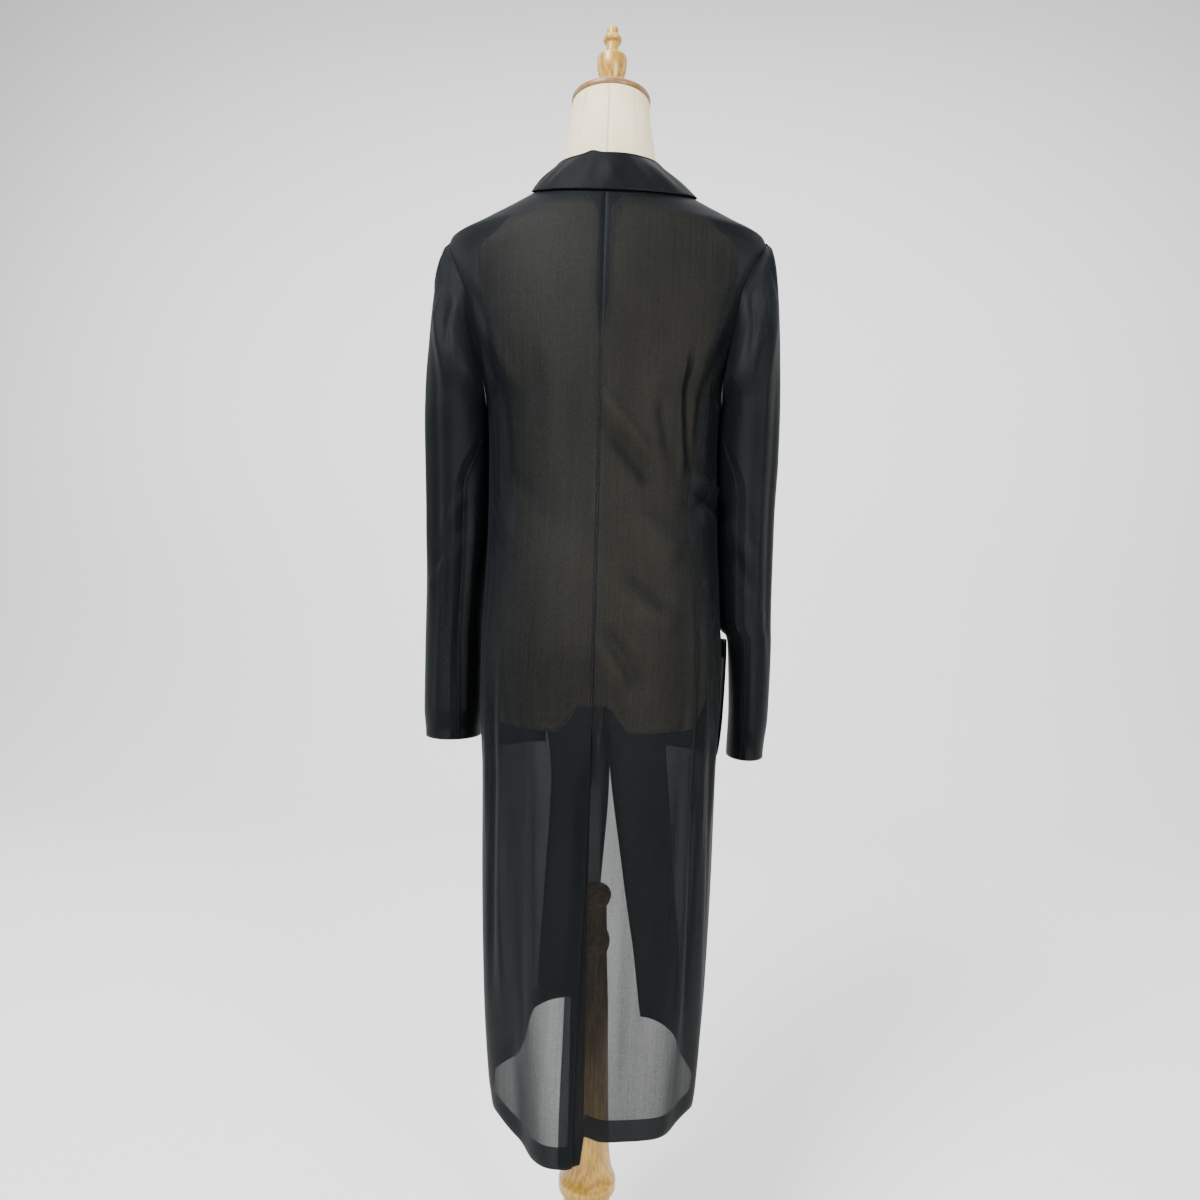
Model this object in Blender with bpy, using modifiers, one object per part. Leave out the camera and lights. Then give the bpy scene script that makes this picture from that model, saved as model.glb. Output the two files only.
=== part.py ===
"""A sheer long coat standing on a limbless dress form.

The coat is cut as a maker cuts it: two backs with a vent, two fronts with facings, lapels and patch
pockets, two sleeves of two pieces each, and a collar. Every piece is a thin wall on one shared coat form.
Metres, +Z up. The origin is under the centre of the base. The coat faces +Y and +X is its wearer's right.
"""

import math

import bmesh
import bpy
import numpy as np

# Driving sizes
CLOTH = 0.0016
SEAM = 0.0005
FOLD_FOOT = 0.30
# How far the lapels and pockets stand outside the fronts, and the facings inside them, left then right
LAID_ON = 0.0030
LAID_UNDER = {-1: 0.0031, 1: 0.0034}
NECK_TOP = 1.600
FORM_BOTTOM = 0.786
NOTCH_RISE = 0.033
NOTCH_HALF = 0.036
UNDERARM = 1.200
SHOULDER = 1.418
LAPEL_BREAK = 1.160
LAPEL_TOP = 1.410
LAPEL_POINT = 0.010
LAPEL_WIDTH = 0.078
LAPEL_FOOT = 0.006
LAPEL_START = 0.012
LAPEL_BACK = 0.2
FACING_WIDTH = 0.075
FACING_BACK = 0.3
FACING_SHORT = 0.006
VENT_TOP = 0.775
VENT_LAP = 0.045
VENT_SWING = 0.012
VENT_DEPTH = 0.0042
VENT_CLEAR = 8.0
VENT_EASE = 0.05
POCKET_BOTTOM = 0.745
POCKET_TOP = 0.900
POCKET_GAPE = {-1: 0.0015, 1: 0.0045}
POCKET_FROM = 98
POCKET_ROUND = 50
POCKET_REACH = 1.15
FORM_SIDES = 28
TURNED_STEPS = 20

# The coat's level sections: height, half width on the left, on the right, depth behind, depth in front
COAT = (
    (0.280, 0.120, 0.133, 0.131, 0.131),
    (0.350, 0.130, 0.142, 0.133, 0.131),
    (0.450, 0.139, 0.149, 0.134, 0.130),
    (0.600, 0.146, 0.154, 0.134, 0.130),
    (0.730, 0.149, 0.156, 0.134, 0.129),
    (0.800, 0.153, 0.159, 0.135, 0.128),
    (0.880, 0.154, 0.160, 0.134, 0.128),
    (0.960, 0.151, 0.154, 0.126, 0.129),
    (1.060, 0.149, 0.150, 0.113, 0.133),
    (1.140, 0.150, 0.149, 0.109, 0.137),
    (1.200, 0.154, 0.152, 0.108, 0.140),
    (1.240, 0.172, 0.168, 0.1075, 0.140),
    (1.280, 0.190, 0.184, 0.106, 0.136),
    (1.340, 0.203, 0.196, 0.102, 0.122),
    (1.380, 0.209, 0.201, 0.097, 0.108),
    (1.405, 0.211, 0.203, 0.093, 0.098),
    (1.418, 0.208, 0.200, 0.091, 0.093),
    (1.435, 0.175, 0.171, 0.088, 0.087),
    (1.450, 0.143, 0.143, 0.0845, 0.081),
    (1.465, 0.113, 0.114, 0.0805, 0.075),
    (1.476, 0.093, 0.094, 0.0770, 0.070),
    (1.486, 0.079, 0.080, 0.0730, 0.066),
)

# The armhole's edge: height, angle from the centre back, angle from the centre front
ARMHOLE = (
    (1.200, 89.0, 89.0),
    (1.212, 76.0, 75.0),
    (1.235, 67.0, 64.0),
    (1.280, 61.0, 57.0),
    (1.330, 61.0, 57.0),
    (1.365, 66.0, 62.0),
    (1.390, 73.0, 70.0),
    (1.408, 81.0, 80.0),
    (1.418, 89.0, 89.0),
)

# The hem's height round the coat: angle from the centre back, left side height, right side height
HEM = (
    (0.0, 0.284, 0.322),
    (28.0, 0.285, 0.320),
    (50.0, 0.294, 0.315),
    (65.0, 0.301, 0.310),
    (90.0, 0.305, 0.305),
    (135.0, 0.325, 0.325),
    (180.0, 0.345, 0.345),
)

# The front edges: height, distance of the left edge from the centre, and of the right edge
FRONT_EDGE = (
    (0.280, 0.018, 0.070),
    (0.400, 0.014, 0.058),
    (0.550, 0.008, 0.036),
    (0.700, 0.004, 0.014),
    (0.800, 0.003, 0.004),
    (1.160, 0.003, 0.003),
    (1.250, 0.022, 0.022),
    (1.350, 0.047, 0.047),
    (1.440, 0.068, 0.068),
    (1.490, 0.076, 0.076),
)

# Largest folds: angle from the centre back (left negative), half width in degrees, height out at the hem,
# height above the floor where it dies out
FOLDS = (
    (-152.0, 10.0, 0.005, 0.900),
    (-122.0, 11.0, -0.006, 1.000),
    (-98.0, 9.0, 0.005, 0.720),
    (-64.0, 10.0, 0.006, 0.950),
    (-42.0, 9.0, -0.006, 0.800),
    (-20.0, 9.0, 0.005, 0.720),
    (22.0, 10.0, -0.005, 0.720),
    (41.0, 9.0, 0.005, 0.760),
    (63.0, 9.0, 0.007, 1.000),
    (80.0, 8.0, -0.006, 0.860),
    (114.0, 10.0, -0.006, 0.950),
    (150.0, 12.0, 0.004, 0.850),
)

# Sleeves: height, inner side, outer side, centre forward of the axis, half depth
SLEEVE = {
    -1: (
        (0.764, 0.1600, 0.2290, 0.040, 0.050),
        (0.800, 0.1590, 0.2345, 0.038, 0.053),
        (0.880, 0.1590, 0.2345, 0.035, 0.056),
        (0.960, 0.1560, 0.2340, 0.030, 0.060),
        (1.060, 0.1525, 0.2350, 0.022, 0.065),
        (1.140, 0.1530, 0.2360, 0.012, 0.070),
        (1.200, 0.1560, 0.2355, 0.004, 0.074),
        (1.280, 0.1700, 0.2335, 0.002, 0.074),
        (1.340, 0.1860, 0.2320, 0.001, 0.064),
        (1.380, 0.1950, 0.2300, 0.000, 0.050),
        (1.405, 0.2020, 0.2260, 0.000, 0.032),
        (1.418, 0.2070, 0.2190, 0.000, 0.012),
    ),
    1: (
        (0.745, 0.1660, 0.2130, 0.045, 0.046),
        (0.800, 0.1700, 0.2180, 0.042, 0.050),
        (0.880, 0.1735, 0.2210, 0.037, 0.055),
        (0.960, 0.1610, 0.2235, 0.031, 0.060),
        (1.060, 0.1530, 0.2255, 0.022, 0.065),
        (1.140, 0.1520, 0.2290, 0.012, 0.070),
        (1.200, 0.1540, 0.2285, 0.004, 0.074),
        (1.280, 0.1640, 0.2255, 0.002, 0.074),
        (1.340, 0.1790, 0.2220, 0.001, 0.064),
        (1.380, 0.1880, 0.2190, 0.000, 0.050),
        (1.405, 0.1950, 0.2150, 0.000, 0.032),
        (1.418, 0.1990, 0.2090, 0.000, 0.012),
    ),
}
ARMHOLE_GAP = 0.0017
UNDER_SHARE = 0.19
UNDER_POINT = 0.03
SLEEVE_OPEN = 100
SLEEVE_REACH = 0.30
SLEEVE_EASE = 0.03
UNDER_GAP = 0.007
UNDER_TOP = 0.003

# The collar round the neck: angle from the centre back, height of its seam, of its fold, of its lower edge
COLLAR = (
    (0.0, 1.4570, 1.498, 1.4490),
    (30.0, 1.4610, 1.500, 1.4520),
    (60.0, 1.4730, 1.505, 1.4620),
    (90.0, 1.4850, 1.508, 1.4740),
    (115.0, 1.4770, 1.500, 1.4640),
    (135.0, 1.4640, 1.482, 1.4500),
    (146.0, 1.4560, 1.471, 1.4460),
)
FOLD_RING = (0.0685, 0.0775, 0.0640)
COLLAR_SEAM = 0.0013
COLLAR_LIFT = 0.0036
COLLAR_FOLD_RADIUS = 0.0028
COLLAR_BULGE = 0.004
COLLAR_STAND = 0.4
COLLAR_FALL = 0.6
COLLAR_LEAVES = (88, 138)

# The dress form: height, half width, depth behind, depth in front
FORM = (
    (0.790, 0.130, 0.108, 0.094),
    (0.830, 0.143, 0.118, 0.102),
    (0.880, 0.147, 0.120, 0.106),
    (0.960, 0.134, 0.104, 0.099),
    (1.060, 0.112, 0.084, 0.092),
    (1.130, 0.118, 0.089, 0.104),
    (1.180, 0.125, 0.094, 0.119),
    (1.235, 0.137, 0.098, 0.128),
    (1.300, 0.150, 0.096, 0.115),
    (1.360, 0.168, 0.092, 0.098),
    (1.404, 0.1735, 0.082, 0.080),
    (1.428, 0.150, 0.078, 0.073),
    (1.453, 0.126, 0.074, 0.067),
    (1.472, 0.0955, 0.070, 0.062),
    (1.490, 0.0685, 0.065, 0.057),
    (1.515, 0.0625, 0.061, 0.055),
    (1.545, 0.0575, 0.057, 0.0535),
    (1.600, 0.0505, 0.0505, 0.0505),
)

# Turned pieces, top to bottom: height, radius
FINIAL = (
    (1.703, 0.0),
    (1.7025, 0.005),
    (1.699, 0.008),
    (1.691, 0.0075),
    (1.688, 0.0115),
    (1.685, 0.0125),
    (1.681, 0.0105),
    (1.678, 0.0078),
    (1.672, 0.0100),
    (1.664, 0.0170),
    (1.655, 0.0195),
    (1.644, 0.0185),
    (1.633, 0.0155),
    (1.627, 0.0145),
    (1.623, 0.0190),
    (1.618, 0.0200),
    (1.614, 0.0160),
    (1.6095, 0.0260),
    (1.6095, 0.0),
)
NECK_CAP = (
    (1.6092, 0.0),
    (1.6092, 0.0440),
    (1.6082, 0.0490),
    (1.6050, 0.0512),
    (1.6018, 0.0500),
    (1.6003, 0.0470),
    (1.6003, 0.0),
)
POST = (
    (0.5760, 0.0),
    (0.5760, 0.0120),
    (0.5720, 0.0200),
    (0.5630, 0.0235),
    (0.5540, 0.0210),
    (0.5470, 0.0180),
    (0.5180, 0.0190),
    (0.5110, 0.0215),
    (0.5020, 0.0230),
    (0.4930, 0.0210),
    (0.4870, 0.0195),
    (0.4200, 0.0225),
    (0.3000, 0.0255),
    (0.2350, 0.0280),
    (0.2050, 0.0320),
    (0.1900, 0.0375),
    (0.1800, 0.0370),
    (0.1720, 0.0300),
    (0.1200, 0.0330),
    (0.0603, 0.0480),
    (0.0603, 0.0),
)
BASE = (
    (0.0600, 0.0),
    (0.0600, 0.0620),
    (0.0540, 0.0720),
    (0.0400, 0.0900),
    (0.0330, 0.1500),
    (0.0270, 0.1690),
    (0.0150, 0.1750),
    (0.0, 0.1720),
    (0.0, 0.0),
)
POLE_RADIUS = 0.0075

MATERIALS = {
    "sheer_cloth": ((0.020, 0.022, 0.025, 1), 0.75, 0.0),
    "linen": ((0.80, 0.74, 0.62, 1), 0.85, 0.0),
    "wood": ((0.52, 0.30, 0.12, 1), 0.35, 0.0),
    "steel": ((0.62, 0.62, 0.62, 1), 0.3, 1.0),
}


def start():
    """An empty scene with a collection for the part."""
    for o in list(bpy.data.objects):
        bpy.data.objects.remove(o)
    parts = bpy.data.collections.new("long_coat_on_dress_form")
    bpy.context.scene.collection.children.link(parts)
    return parts


def material(name):
    if name in bpy.data.materials:
        return bpy.data.materials[name]
    colour, roughness, metallic = MATERIALS[name]
    m = bpy.data.materials.new(name)
    m.use_nodes = True
    shader = m.node_tree.nodes["Principled BSDF"]
    shader.inputs["Base Color"].default_value = colour
    shader.inputs["Roughness"].default_value = roughness
    shader.inputs["Metallic"].default_value = metallic
    return m


def add(parts, name, mesh, slot):
    o = bpy.data.objects.new(name, mesh)
    mesh.materials.append(material(slot))
    parts.objects.link(o)
    return o


def smooth(table, column, at):
    """A column of a table at a value of its first column, on a curve that never swings past its rows."""
    x = np.array([row[0] for row in table])
    y = np.array([row[column] for row in table])
    at = min(max(at, x[0]), x[-1])
    i = min(int(np.searchsorted(x, at, side="right")) - 1, len(x) - 2)
    step = np.diff(x)
    slope = np.diff(y) / step
    tangent = np.zeros(len(x))
    for k in range(1, len(x) - 1):
        if slope[k - 1] * slope[k] > 0:
            tangent[k] = 2 * slope[k - 1] * slope[k] / (slope[k - 1] + slope[k])
    t = (at - x[i]) / step[i]
    h = step[i]
    return (
        (2 * t**3 - 3 * t**2 + 1) * y[i]
        + (t**3 - 2 * t**2 + t) * h * tangent[i]
        + (3 * t**2 - 2 * t**3) * y[i + 1]
        + (t**3 - t**2) * h * tangent[i + 1]
    )


def ramp(a, b, x):
    """0 at a and 1 at b, with soft ends."""
    t = min(max((x - a) / (b - a), 0), 1)
    return t * t * (3 - 2 * t)


def fold_out(degrees, z):
    """How far the folds push the coat out at an angle and a height."""
    out = 0
    for at, width, height, top in FOLDS:
        out += height * math.exp(-(((degrees - at) / width) ** 2)) * ramp(top, FOLD_FOOT, z)
    return out


def coat(degrees, z, out=0.0):
    """A point of the coat at an angle from the centre back, left negative, and a height, moved out."""
    a = math.radians(degrees)
    half = smooth(COAT, 1 if degrees < 0 else 2, z)
    deep = smooth(COAT, 3 if abs(degrees) < 90 else 4, z)
    x, y = half * math.sin(a), -deep * math.cos(a)
    nx, ny = math.sin(a) / half, -math.cos(a) / deep
    push = fold_out(degrees, z) / math.hypot(nx, ny)
    p = np.array([x + nx * push, y + ny * push, z])
    if not out:
        return p
    across = coat(degrees + 1, z) - coat(degrees - 1, z)
    up = coat(degrees, min(z + 0.004, COAT[-1][0])) - coat(degrees, z - 0.004)
    normal = np.cross(across, up)
    return p + normal / np.linalg.norm(normal) * out


def sheet(parts, name, columns, rows, place, slot="sheer_cloth"):
    """A wall of cloth: a grid whose points are placed by a function of 0 to 1 across and 0 to 1 up."""
    bm = bmesh.new()
    bmesh.ops.create_grid(bm, x_segments=columns, y_segments=rows, size=0.5)
    for v in bm.verts:
        v.co = place(min(max(v.co.x + 0.5, 0), 1), min(max(v.co.y + 0.5, 0), 1))
    mesh = bpy.data.meshes.new(name)
    bm.to_mesh(mesh)
    bm.free()
    mesh.shade_smooth()
    o = add(parts, name, mesh, slot)
    wall = o.modifiers.new("wall", "SOLIDIFY")
    wall.thickness = CLOTH
    wall.offset = 0
    return o


SKIRT_ROWS = (0.0, 0.09, 0.18, 0.27, 0.36, 0.45, 0.54, 0.63, 0.72, 0.81, 0.90, 1.0)
YOKE_ROWS = (1.212, 1.235, 1.28, 1.33, 1.365, 1.39, 1.408, 1.418, 1.435, 1.45, 1.465, 1.476, 1.486)
SETTLE = 8
ROWS = len(SKIRT_ROWS) + len(YOKE_ROWS) - 1


def row_height(row, hem, top):
    """Rows share out the skirt from its hem to the underarm, and step up the shoulder by a list."""
    if row < len(SKIRT_ROWS):
        return hem + (UNDERARM - hem) * SKIRT_ROWS[row]
    z = YOKE_ROWS[row - len(SKIRT_ROWS)]
    if z <= SHOULDER:
        return z
    return SHOULDER + (z - SHOULDER) * (top - SHOULDER) / (YOKE_ROWS[-1] - SHOULDER)


def hem_height(degrees):
    return smooth(HEM, 1 if degrees < 0 else 2, abs(degrees))


def neck_height(degrees):
    """The height of the panels' neck edge, just under the collar's seam."""
    return smooth(COLLAR, 1, abs(degrees)) - COLLAR_SEAM


def arm_angle(z, column):
    if UNDERARM <= z <= SHOULDER:
        return smooth(ARMHOLE, column, z)
    return 90.0


def gap_degrees(z):
    """The angle that a seam's gap takes at the side."""
    return math.degrees(SEAM / smooth(COAT, 3, z))


def back_edge(side, z):
    """How far the back's centre edge lies to its own side, below zero where it laps past the centre."""
    if z >= VENT_TOP:
        return SEAM
    open_share = ramp(VENT_TOP, FOLD_FOOT, z)
    if side < 0:
        return SEAM + VENT_SWING * open_share
    return SEAM - (VENT_LAP + SEAM) * ramp(VENT_TOP, VENT_TOP - VENT_EASE, z)


def back(parts, side, name):
    """One back, from the centre seam and its vent to the side seam, armhole and shoulder seam."""

    def place(u, v):
        row = round(v * ROWS)
        z = row_height(row, HEM[0][1], COLLAR[0][1])
        for _ in range(SETTLE):
            edge = arm_angle(z, 1) - gap_degrees(z)
            centre = math.degrees(math.asin(back_edge(side, z) / smooth(COAT, 2, z)))
            degrees = centre + (edge - centre) * u
            z = row_height(row, hem_height(side * degrees), neck_height(degrees))
        under = 0.0
        if side > 0:
            near = 1 - ramp(0.0, VENT_CLEAR, degrees)
            below = 1 - ramp(VENT_TOP - 0.01, VENT_TOP + 0.01 + VENT_EASE, z)
            under = -VENT_DEPTH * near * below
        return coat(side * degrees, z, under)

    return sheet(parts, name, 12, ROWS, place)


def front_angle(side, z):
    """The angle of the front's open edge."""
    x = smooth(FRONT_EDGE, 1 if side < 0 else 2, z)
    half = smooth(COAT, 1 if side < 0 else 2, z)
    return 180 - math.degrees(math.asin(min(x / half, 1)))


def front(parts, side, name):
    """One front, from the side seam, armhole and shoulder seam to its open edge and lapel roll."""

    def place(u, v):
        row = round(v * ROWS)
        z = row_height(row, HEM[-1][1], COLLAR[-1][1])
        for _ in range(SETTLE):
            edge = 180 - arm_angle(z, 2) + gap_degrees(z)
            degrees = edge + (front_angle(side, z) - edge) * u
            z = row_height(row, hem_height(side * degrees), neck_height(degrees))
        return coat(side * degrees, z)

    return sheet(parts, name, 10, ROWS, place)


def facing(parts, side, name):
    """The strip that lines the front's open edge inside, from the hem to the lapel's break."""

    def place(u, v):
        low = hem_height(180 * side) + FACING_SHORT
        z = low + (LAPEL_BREAK - low) * v
        edge = front_angle(side, z)
        wide = math.degrees(FACING_WIDTH / smooth(COAT, 4, z))
        return coat(side * (edge - wide * (1 - u) - FACING_BACK), z, -LAID_UNDER[side])

    return sheet(parts, name, 4, 16, place)


def lapel(parts, side, name):
    """The lapel, turned back on the front from the roll line."""

    def place(u, v):
        low = LAPEL_BREAK + LAPEL_START
        z = low + (LAPEL_TOP - low) * v
        edge = front_angle(side, z)
        width = LAPEL_FOOT + (LAPEL_WIDTH - LAPEL_FOOT) * ramp(-0.15, 1.1, v)
        wide = math.degrees(width / math.sqrt(smooth(COAT, 2, z) * smooth(COAT, 4, z)))
        return coat(side * (edge - wide * (1 - u) - LAPEL_BACK), z + LAPEL_POINT * (1 - u) * v, LAID_ON)

    return sheet(parts, name, 5, 10, place)


def pocket(parts, side, name):
    """A patch pocket on the front's hip, with its mouth standing a little open."""

    def place(u, v):
        z = POCKET_BOTTOM + (POCKET_TOP - POCKET_BOTTOM) * v
        gape = POCKET_GAPE[side] * v * v * math.sin(math.pi * min(u * POCKET_REACH, 1)) ** 0.5
        return coat(side * (POCKET_FROM + POCKET_ROUND * u), z, LAID_ON + gape)

    return sheet(parts, name, 7, 6, place)


def arm_point(side, z, column):
    """The body's armhole edge at a height, on the back (column 1) or on the front (column 2)."""
    angle = arm_angle(z, column)
    return coat(side * (angle if column == 1 else 180 - angle), z)


def sleeve_point(side, z, share):
    """A point round the sleeve, from its inner side round the back and outside to the front and in again."""
    table = SLEEVE[side]
    inner, outer = smooth(table, 1, z), smooth(table, 2, z)
    cy, deep = smooth(table, 3, z), smooth(table, 4, z)
    opened = SLEEVE_OPEN * ramp(UNDERARM, SHOULDER - 0.04, z)
    a = math.radians(opened + (360 - 2 * opened) * share)
    x = (inner + outer) / 2 - (outer - inner) / 2 * math.cos(a)
    y = cy - deep * math.sin(a)
    p = np.array([side * x, y, z])
    if z > UNDERARM:
        for column, along in ((1, share), (2, 1 - share)):
            first = math.radians(opened if column == 1 else 360 - opened)
            own = np.array([
                side * ((inner + outer) / 2 - (outer - inner) / 2 * math.cos(first)),
                cy - deep * math.sin(first),
                z,
            ])
            goal = arm_point(side, z, column) + np.array([side * ARMHOLE_GAP, 0, 0])
            p = p + (goal - own) * (1 - ramp(0, SLEEVE_REACH, along)) * ramp(UNDERARM, UNDERARM + SLEEVE_EASE, z)
    return p


def seam_share(z):
    """Where the sleeve's back seam runs, as a share of the way round."""
    if z >= UNDERARM:
        return UNDER_POINT * (1 - ramp(UNDERARM, UNDERARM + SLEEVE_EASE, z))
    return UNDER_POINT + (UNDER_SHARE - UNDER_POINT) * ramp(UNDERARM, UNDERARM - 0.12, z)


LOW_ROWS = 9
CAP_ROWS = (UNDERARM, *YOKE_ROWS[:7], SHOULDER - 0.0015)


def top_sleeve(parts, side, name):
    """The sleeve's outer piece, from the cuff to the head of the armhole."""
    cuff = SLEEVE[side][0][0]
    rows = LOW_ROWS + len(CAP_ROWS) - 1

    def place(u, v):
        row = round(v * rows)
        z = cuff + (UNDERARM - cuff) * row / LOW_ROWS if row <= LOW_ROWS else CAP_ROWS[row - LOW_ROWS]
        first = seam_share(z)
        return sleeve_point(side, z, first + (1 - 2 * first) * u)

    return sheet(parts, name, 12, rows, place)


def under_sleeve(parts, side, name):
    """The sleeve's inner piece, from the cuff to the underarm."""
    cuff = SLEEVE[side][0][0]

    def place(u, v):
        z = min(cuff + (UNDERARM - cuff) * v, UNDERARM - UNDER_TOP)
        half = seam_share(z) - UNDER_GAP
        return sleeve_point(side, z, half * (1 - 2 * u))

    return sheet(parts, name, 6, LOW_ROWS, place)


def fold_point(degrees, z):
    """A point on the collar's fold line, which leaves the neck for the lapel's roll at the front."""
    a = math.radians(degrees)
    half, behind, before = FOLD_RING
    deep = behind if abs(degrees) < 90 else before
    near_neck = np.array([half * math.sin(a), -deep * math.cos(a), z])
    on_coat = coat(degrees, smooth(COLLAR, 1, abs(degrees)))
    on_coat[:2] *= 0.965
    on_coat[2] = z
    return near_neck + (on_coat - near_neck) * ramp(*COLLAR_LEAVES, abs(degrees))


def collar(parts, name):
    """The collar: a stand rising from the neckline, a round fold, and the fall over the shoulders."""
    reach = COLLAR[-1][0]

    def place(u, v):
        degrees = reach * (2 * u - 1)
        seam, top, low = (smooth(COLLAR, c, abs(degrees)) for c in (1, 2, 3))
        ridge = fold_point(degrees, top)
        foot = coat(degrees, seam)
        edge = coat(degrees, low, COLLAR_LIFT)
        away = np.array([math.sin(math.radians(degrees)), -math.cos(math.radians(degrees)), 0])
        inner = ridge - np.array([0, 0, 1]) * COLLAR_FOLD_RADIUS
        outer = inner + away * 2 * COLLAR_FOLD_RADIUS
        if v <= COLLAR_STAND:
            return foot + (inner - foot) * v / COLLAR_STAND
        if v <= COLLAR_FALL:
            a = math.pi * (v - COLLAR_STAND) / (COLLAR_FALL - COLLAR_STAND)
            middle = (inner + outer) / 2
            rise = np.array([0, 0, COLLAR_FOLD_RADIUS])
            return middle - away * COLLAR_FOLD_RADIUS * math.cos(a) + rise * math.sin(a)
        t = (v - COLLAR_FALL) / (1 - COLLAR_FALL)
        bulge = away * COLLAR_BULGE * math.sin(math.pi * t)
        return outer + (edge - outer) * t + bulge

    return sheet(parts, name, 22, 10, place)


def turned(parts, name, profile, slot):
    """A turned piece from its profile, top to bottom down its outer side."""
    mesh = bpy.data.meshes.new(name)
    points = [(r, 0, z) for z, r in profile]
    mesh.from_pydata(points, [(i, i + 1) for i in range(len(points) - 1)], [])
    o = add(parts, name, mesh, slot)
    turn = o.modifiers.new("turn", "SCREW")
    turn.steps = turn.render_steps = TURNED_STEPS
    turn.use_merge_vertices = True
    turn.merge_threshold = 0.00005
    turn.use_smooth_shade = True
    return o


def form_ring(z, share):
    """The form's level section at a height, drawn in to a share of its size."""
    half, behind, before = (smooth(FORM, c, z) for c in (1, 2, 3))
    ring = []
    for k in range(FORM_SIDES):
        a = 2 * math.pi * k / FORM_SIDES
        deep = behind if math.cos(a) > 0 else before
        ring.append((half * share * math.sin(a), -deep * share * math.cos(a)))
    return ring


def underside(x):
    """The height of the form's underside, with its notch across the middle."""
    return FORM_BOTTOM + NOTCH_RISE * (1 - ramp(NOTCH_HALF * 0.4, NOTCH_HALF * 1.3, abs(x)))


def form(parts):
    """The padded torso and neck, lofted through its sections over a notched underside."""
    bm = bmesh.new()
    rings = []
    for share in (0.10, 0.30, 0.55, 0.80, 0.95):
        lift = 0.004 * ramp(0.6, 1.0, share)
        rings.append([(x, y, underside(x) + lift) for x, y in form_ring(0.790, share)])
    for z in np.concatenate([np.linspace(0.830, 1.404, 13), [row[0] for row in FORM[11:]]]):
        rings.append([(x, y, min(z, NECK_TOP)) for x, y in form_ring(z, 1)])
    rows = [[bm.verts.new(p) for p in ring] for ring in rings]
    for low, high in zip(rows, rows[1:]):
        for k in range(FORM_SIDES):
            m = (k + 1) % FORM_SIDES
            bm.faces.new((low[k], low[m], high[m], high[k]))
    centre = bm.verts.new((0, 0, underside(0)))
    for k in range(FORM_SIDES):
        bm.faces.new((rows[0][(k + 1) % FORM_SIDES], rows[0][k], centre))
    bm.faces.new(rows[-1])
    bmesh.ops.recalc_face_normals(bm, faces=bm.faces)
    mesh = bpy.data.meshes.new("form_body")
    bm.to_mesh(mesh)
    bm.free()
    mesh.shade_smooth()
    return add(parts, "form_body", mesh, "linen")


def pole(parts):
    """The steel pole between the post and the form."""
    bottom, top = POST[0][0] + 0.0003, FORM_BOTTOM + NOTCH_RISE - 0.0003
    bpy.ops.mesh.primitive_cylinder_add(
        vertices=TURNED_STEPS, radius=POLE_RADIUS, depth=top - bottom, location=(0, 0, (top + bottom) / 2)
    )
    o = bpy.context.object
    o.name = o.data.name = "pole"
    o.data.materials.append(material("steel"))
    for c in list(o.users_collection):
        c.objects.unlink(o)
    parts.objects.link(o)
    return o


def main():
    parts = start()
    turned(parts, "base", BASE, "wood")
    turned(parts, "post", POST, "wood")
    pole(parts)
    form(parts)
    turned(parts, "neck_cap", NECK_CAP, "wood")
    turned(parts, "finial", FINIAL, "wood")
    for side, word in ((-1, "left"), (1, "right")):
        back(parts, side, "back_" + word)
        front(parts, side, "front_" + word)
        facing(parts, side, "facing_" + word)
        lapel(parts, side, "lapel_" + word)
        pocket(parts, side, "pocket_" + word)
        top_sleeve(parts, side, "top_sleeve_" + word)
        under_sleeve(parts, side, "under_sleeve_" + word)
    collar(parts, "collar")


main()
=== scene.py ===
# %% [markdown]
# A sheer black long coat hangs on a limbless dress form, and we look at its back. This lesson makes the coat
# panel by panel, as a maker cuts it: two backs, two fronts, facings, lapels, patch pockets, two-piece sleeves
# and a collar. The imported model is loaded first, because every piece made here takes the place of one of its
# solids and has to lie close to it.

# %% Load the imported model
import math

import bmesh
import bpy
import numpy as np
from mathutils import Matrix


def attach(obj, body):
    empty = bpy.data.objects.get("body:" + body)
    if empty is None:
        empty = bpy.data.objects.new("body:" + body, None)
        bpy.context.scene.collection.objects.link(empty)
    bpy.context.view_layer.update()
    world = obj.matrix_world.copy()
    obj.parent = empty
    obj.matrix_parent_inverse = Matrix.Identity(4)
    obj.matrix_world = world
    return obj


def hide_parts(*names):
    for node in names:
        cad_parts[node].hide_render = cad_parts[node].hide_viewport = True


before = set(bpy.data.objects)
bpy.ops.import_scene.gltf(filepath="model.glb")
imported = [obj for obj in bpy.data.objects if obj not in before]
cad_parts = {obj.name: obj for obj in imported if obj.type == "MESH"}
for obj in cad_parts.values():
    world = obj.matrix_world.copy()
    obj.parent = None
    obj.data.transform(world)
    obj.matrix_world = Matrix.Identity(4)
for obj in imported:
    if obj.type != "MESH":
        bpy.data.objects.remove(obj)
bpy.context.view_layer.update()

# %% [markdown]
# The photographer stood about a metre behind the coat, at the height of its waist, with the short lens of a
# phone. Such a close view makes the hem and the finial spread, so the camera needs the same short lens and
# the same distance. It is turned by its matrix, which keeps the small roll of a hand-held picture.

# %% Camera
CAMERA_AWAY = 1.14
CAMERA_HEIGHT = 0.95
CAMERA_TURN = math.radians(3)
CAMERA_ROLL = math.radians(1.29)

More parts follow.
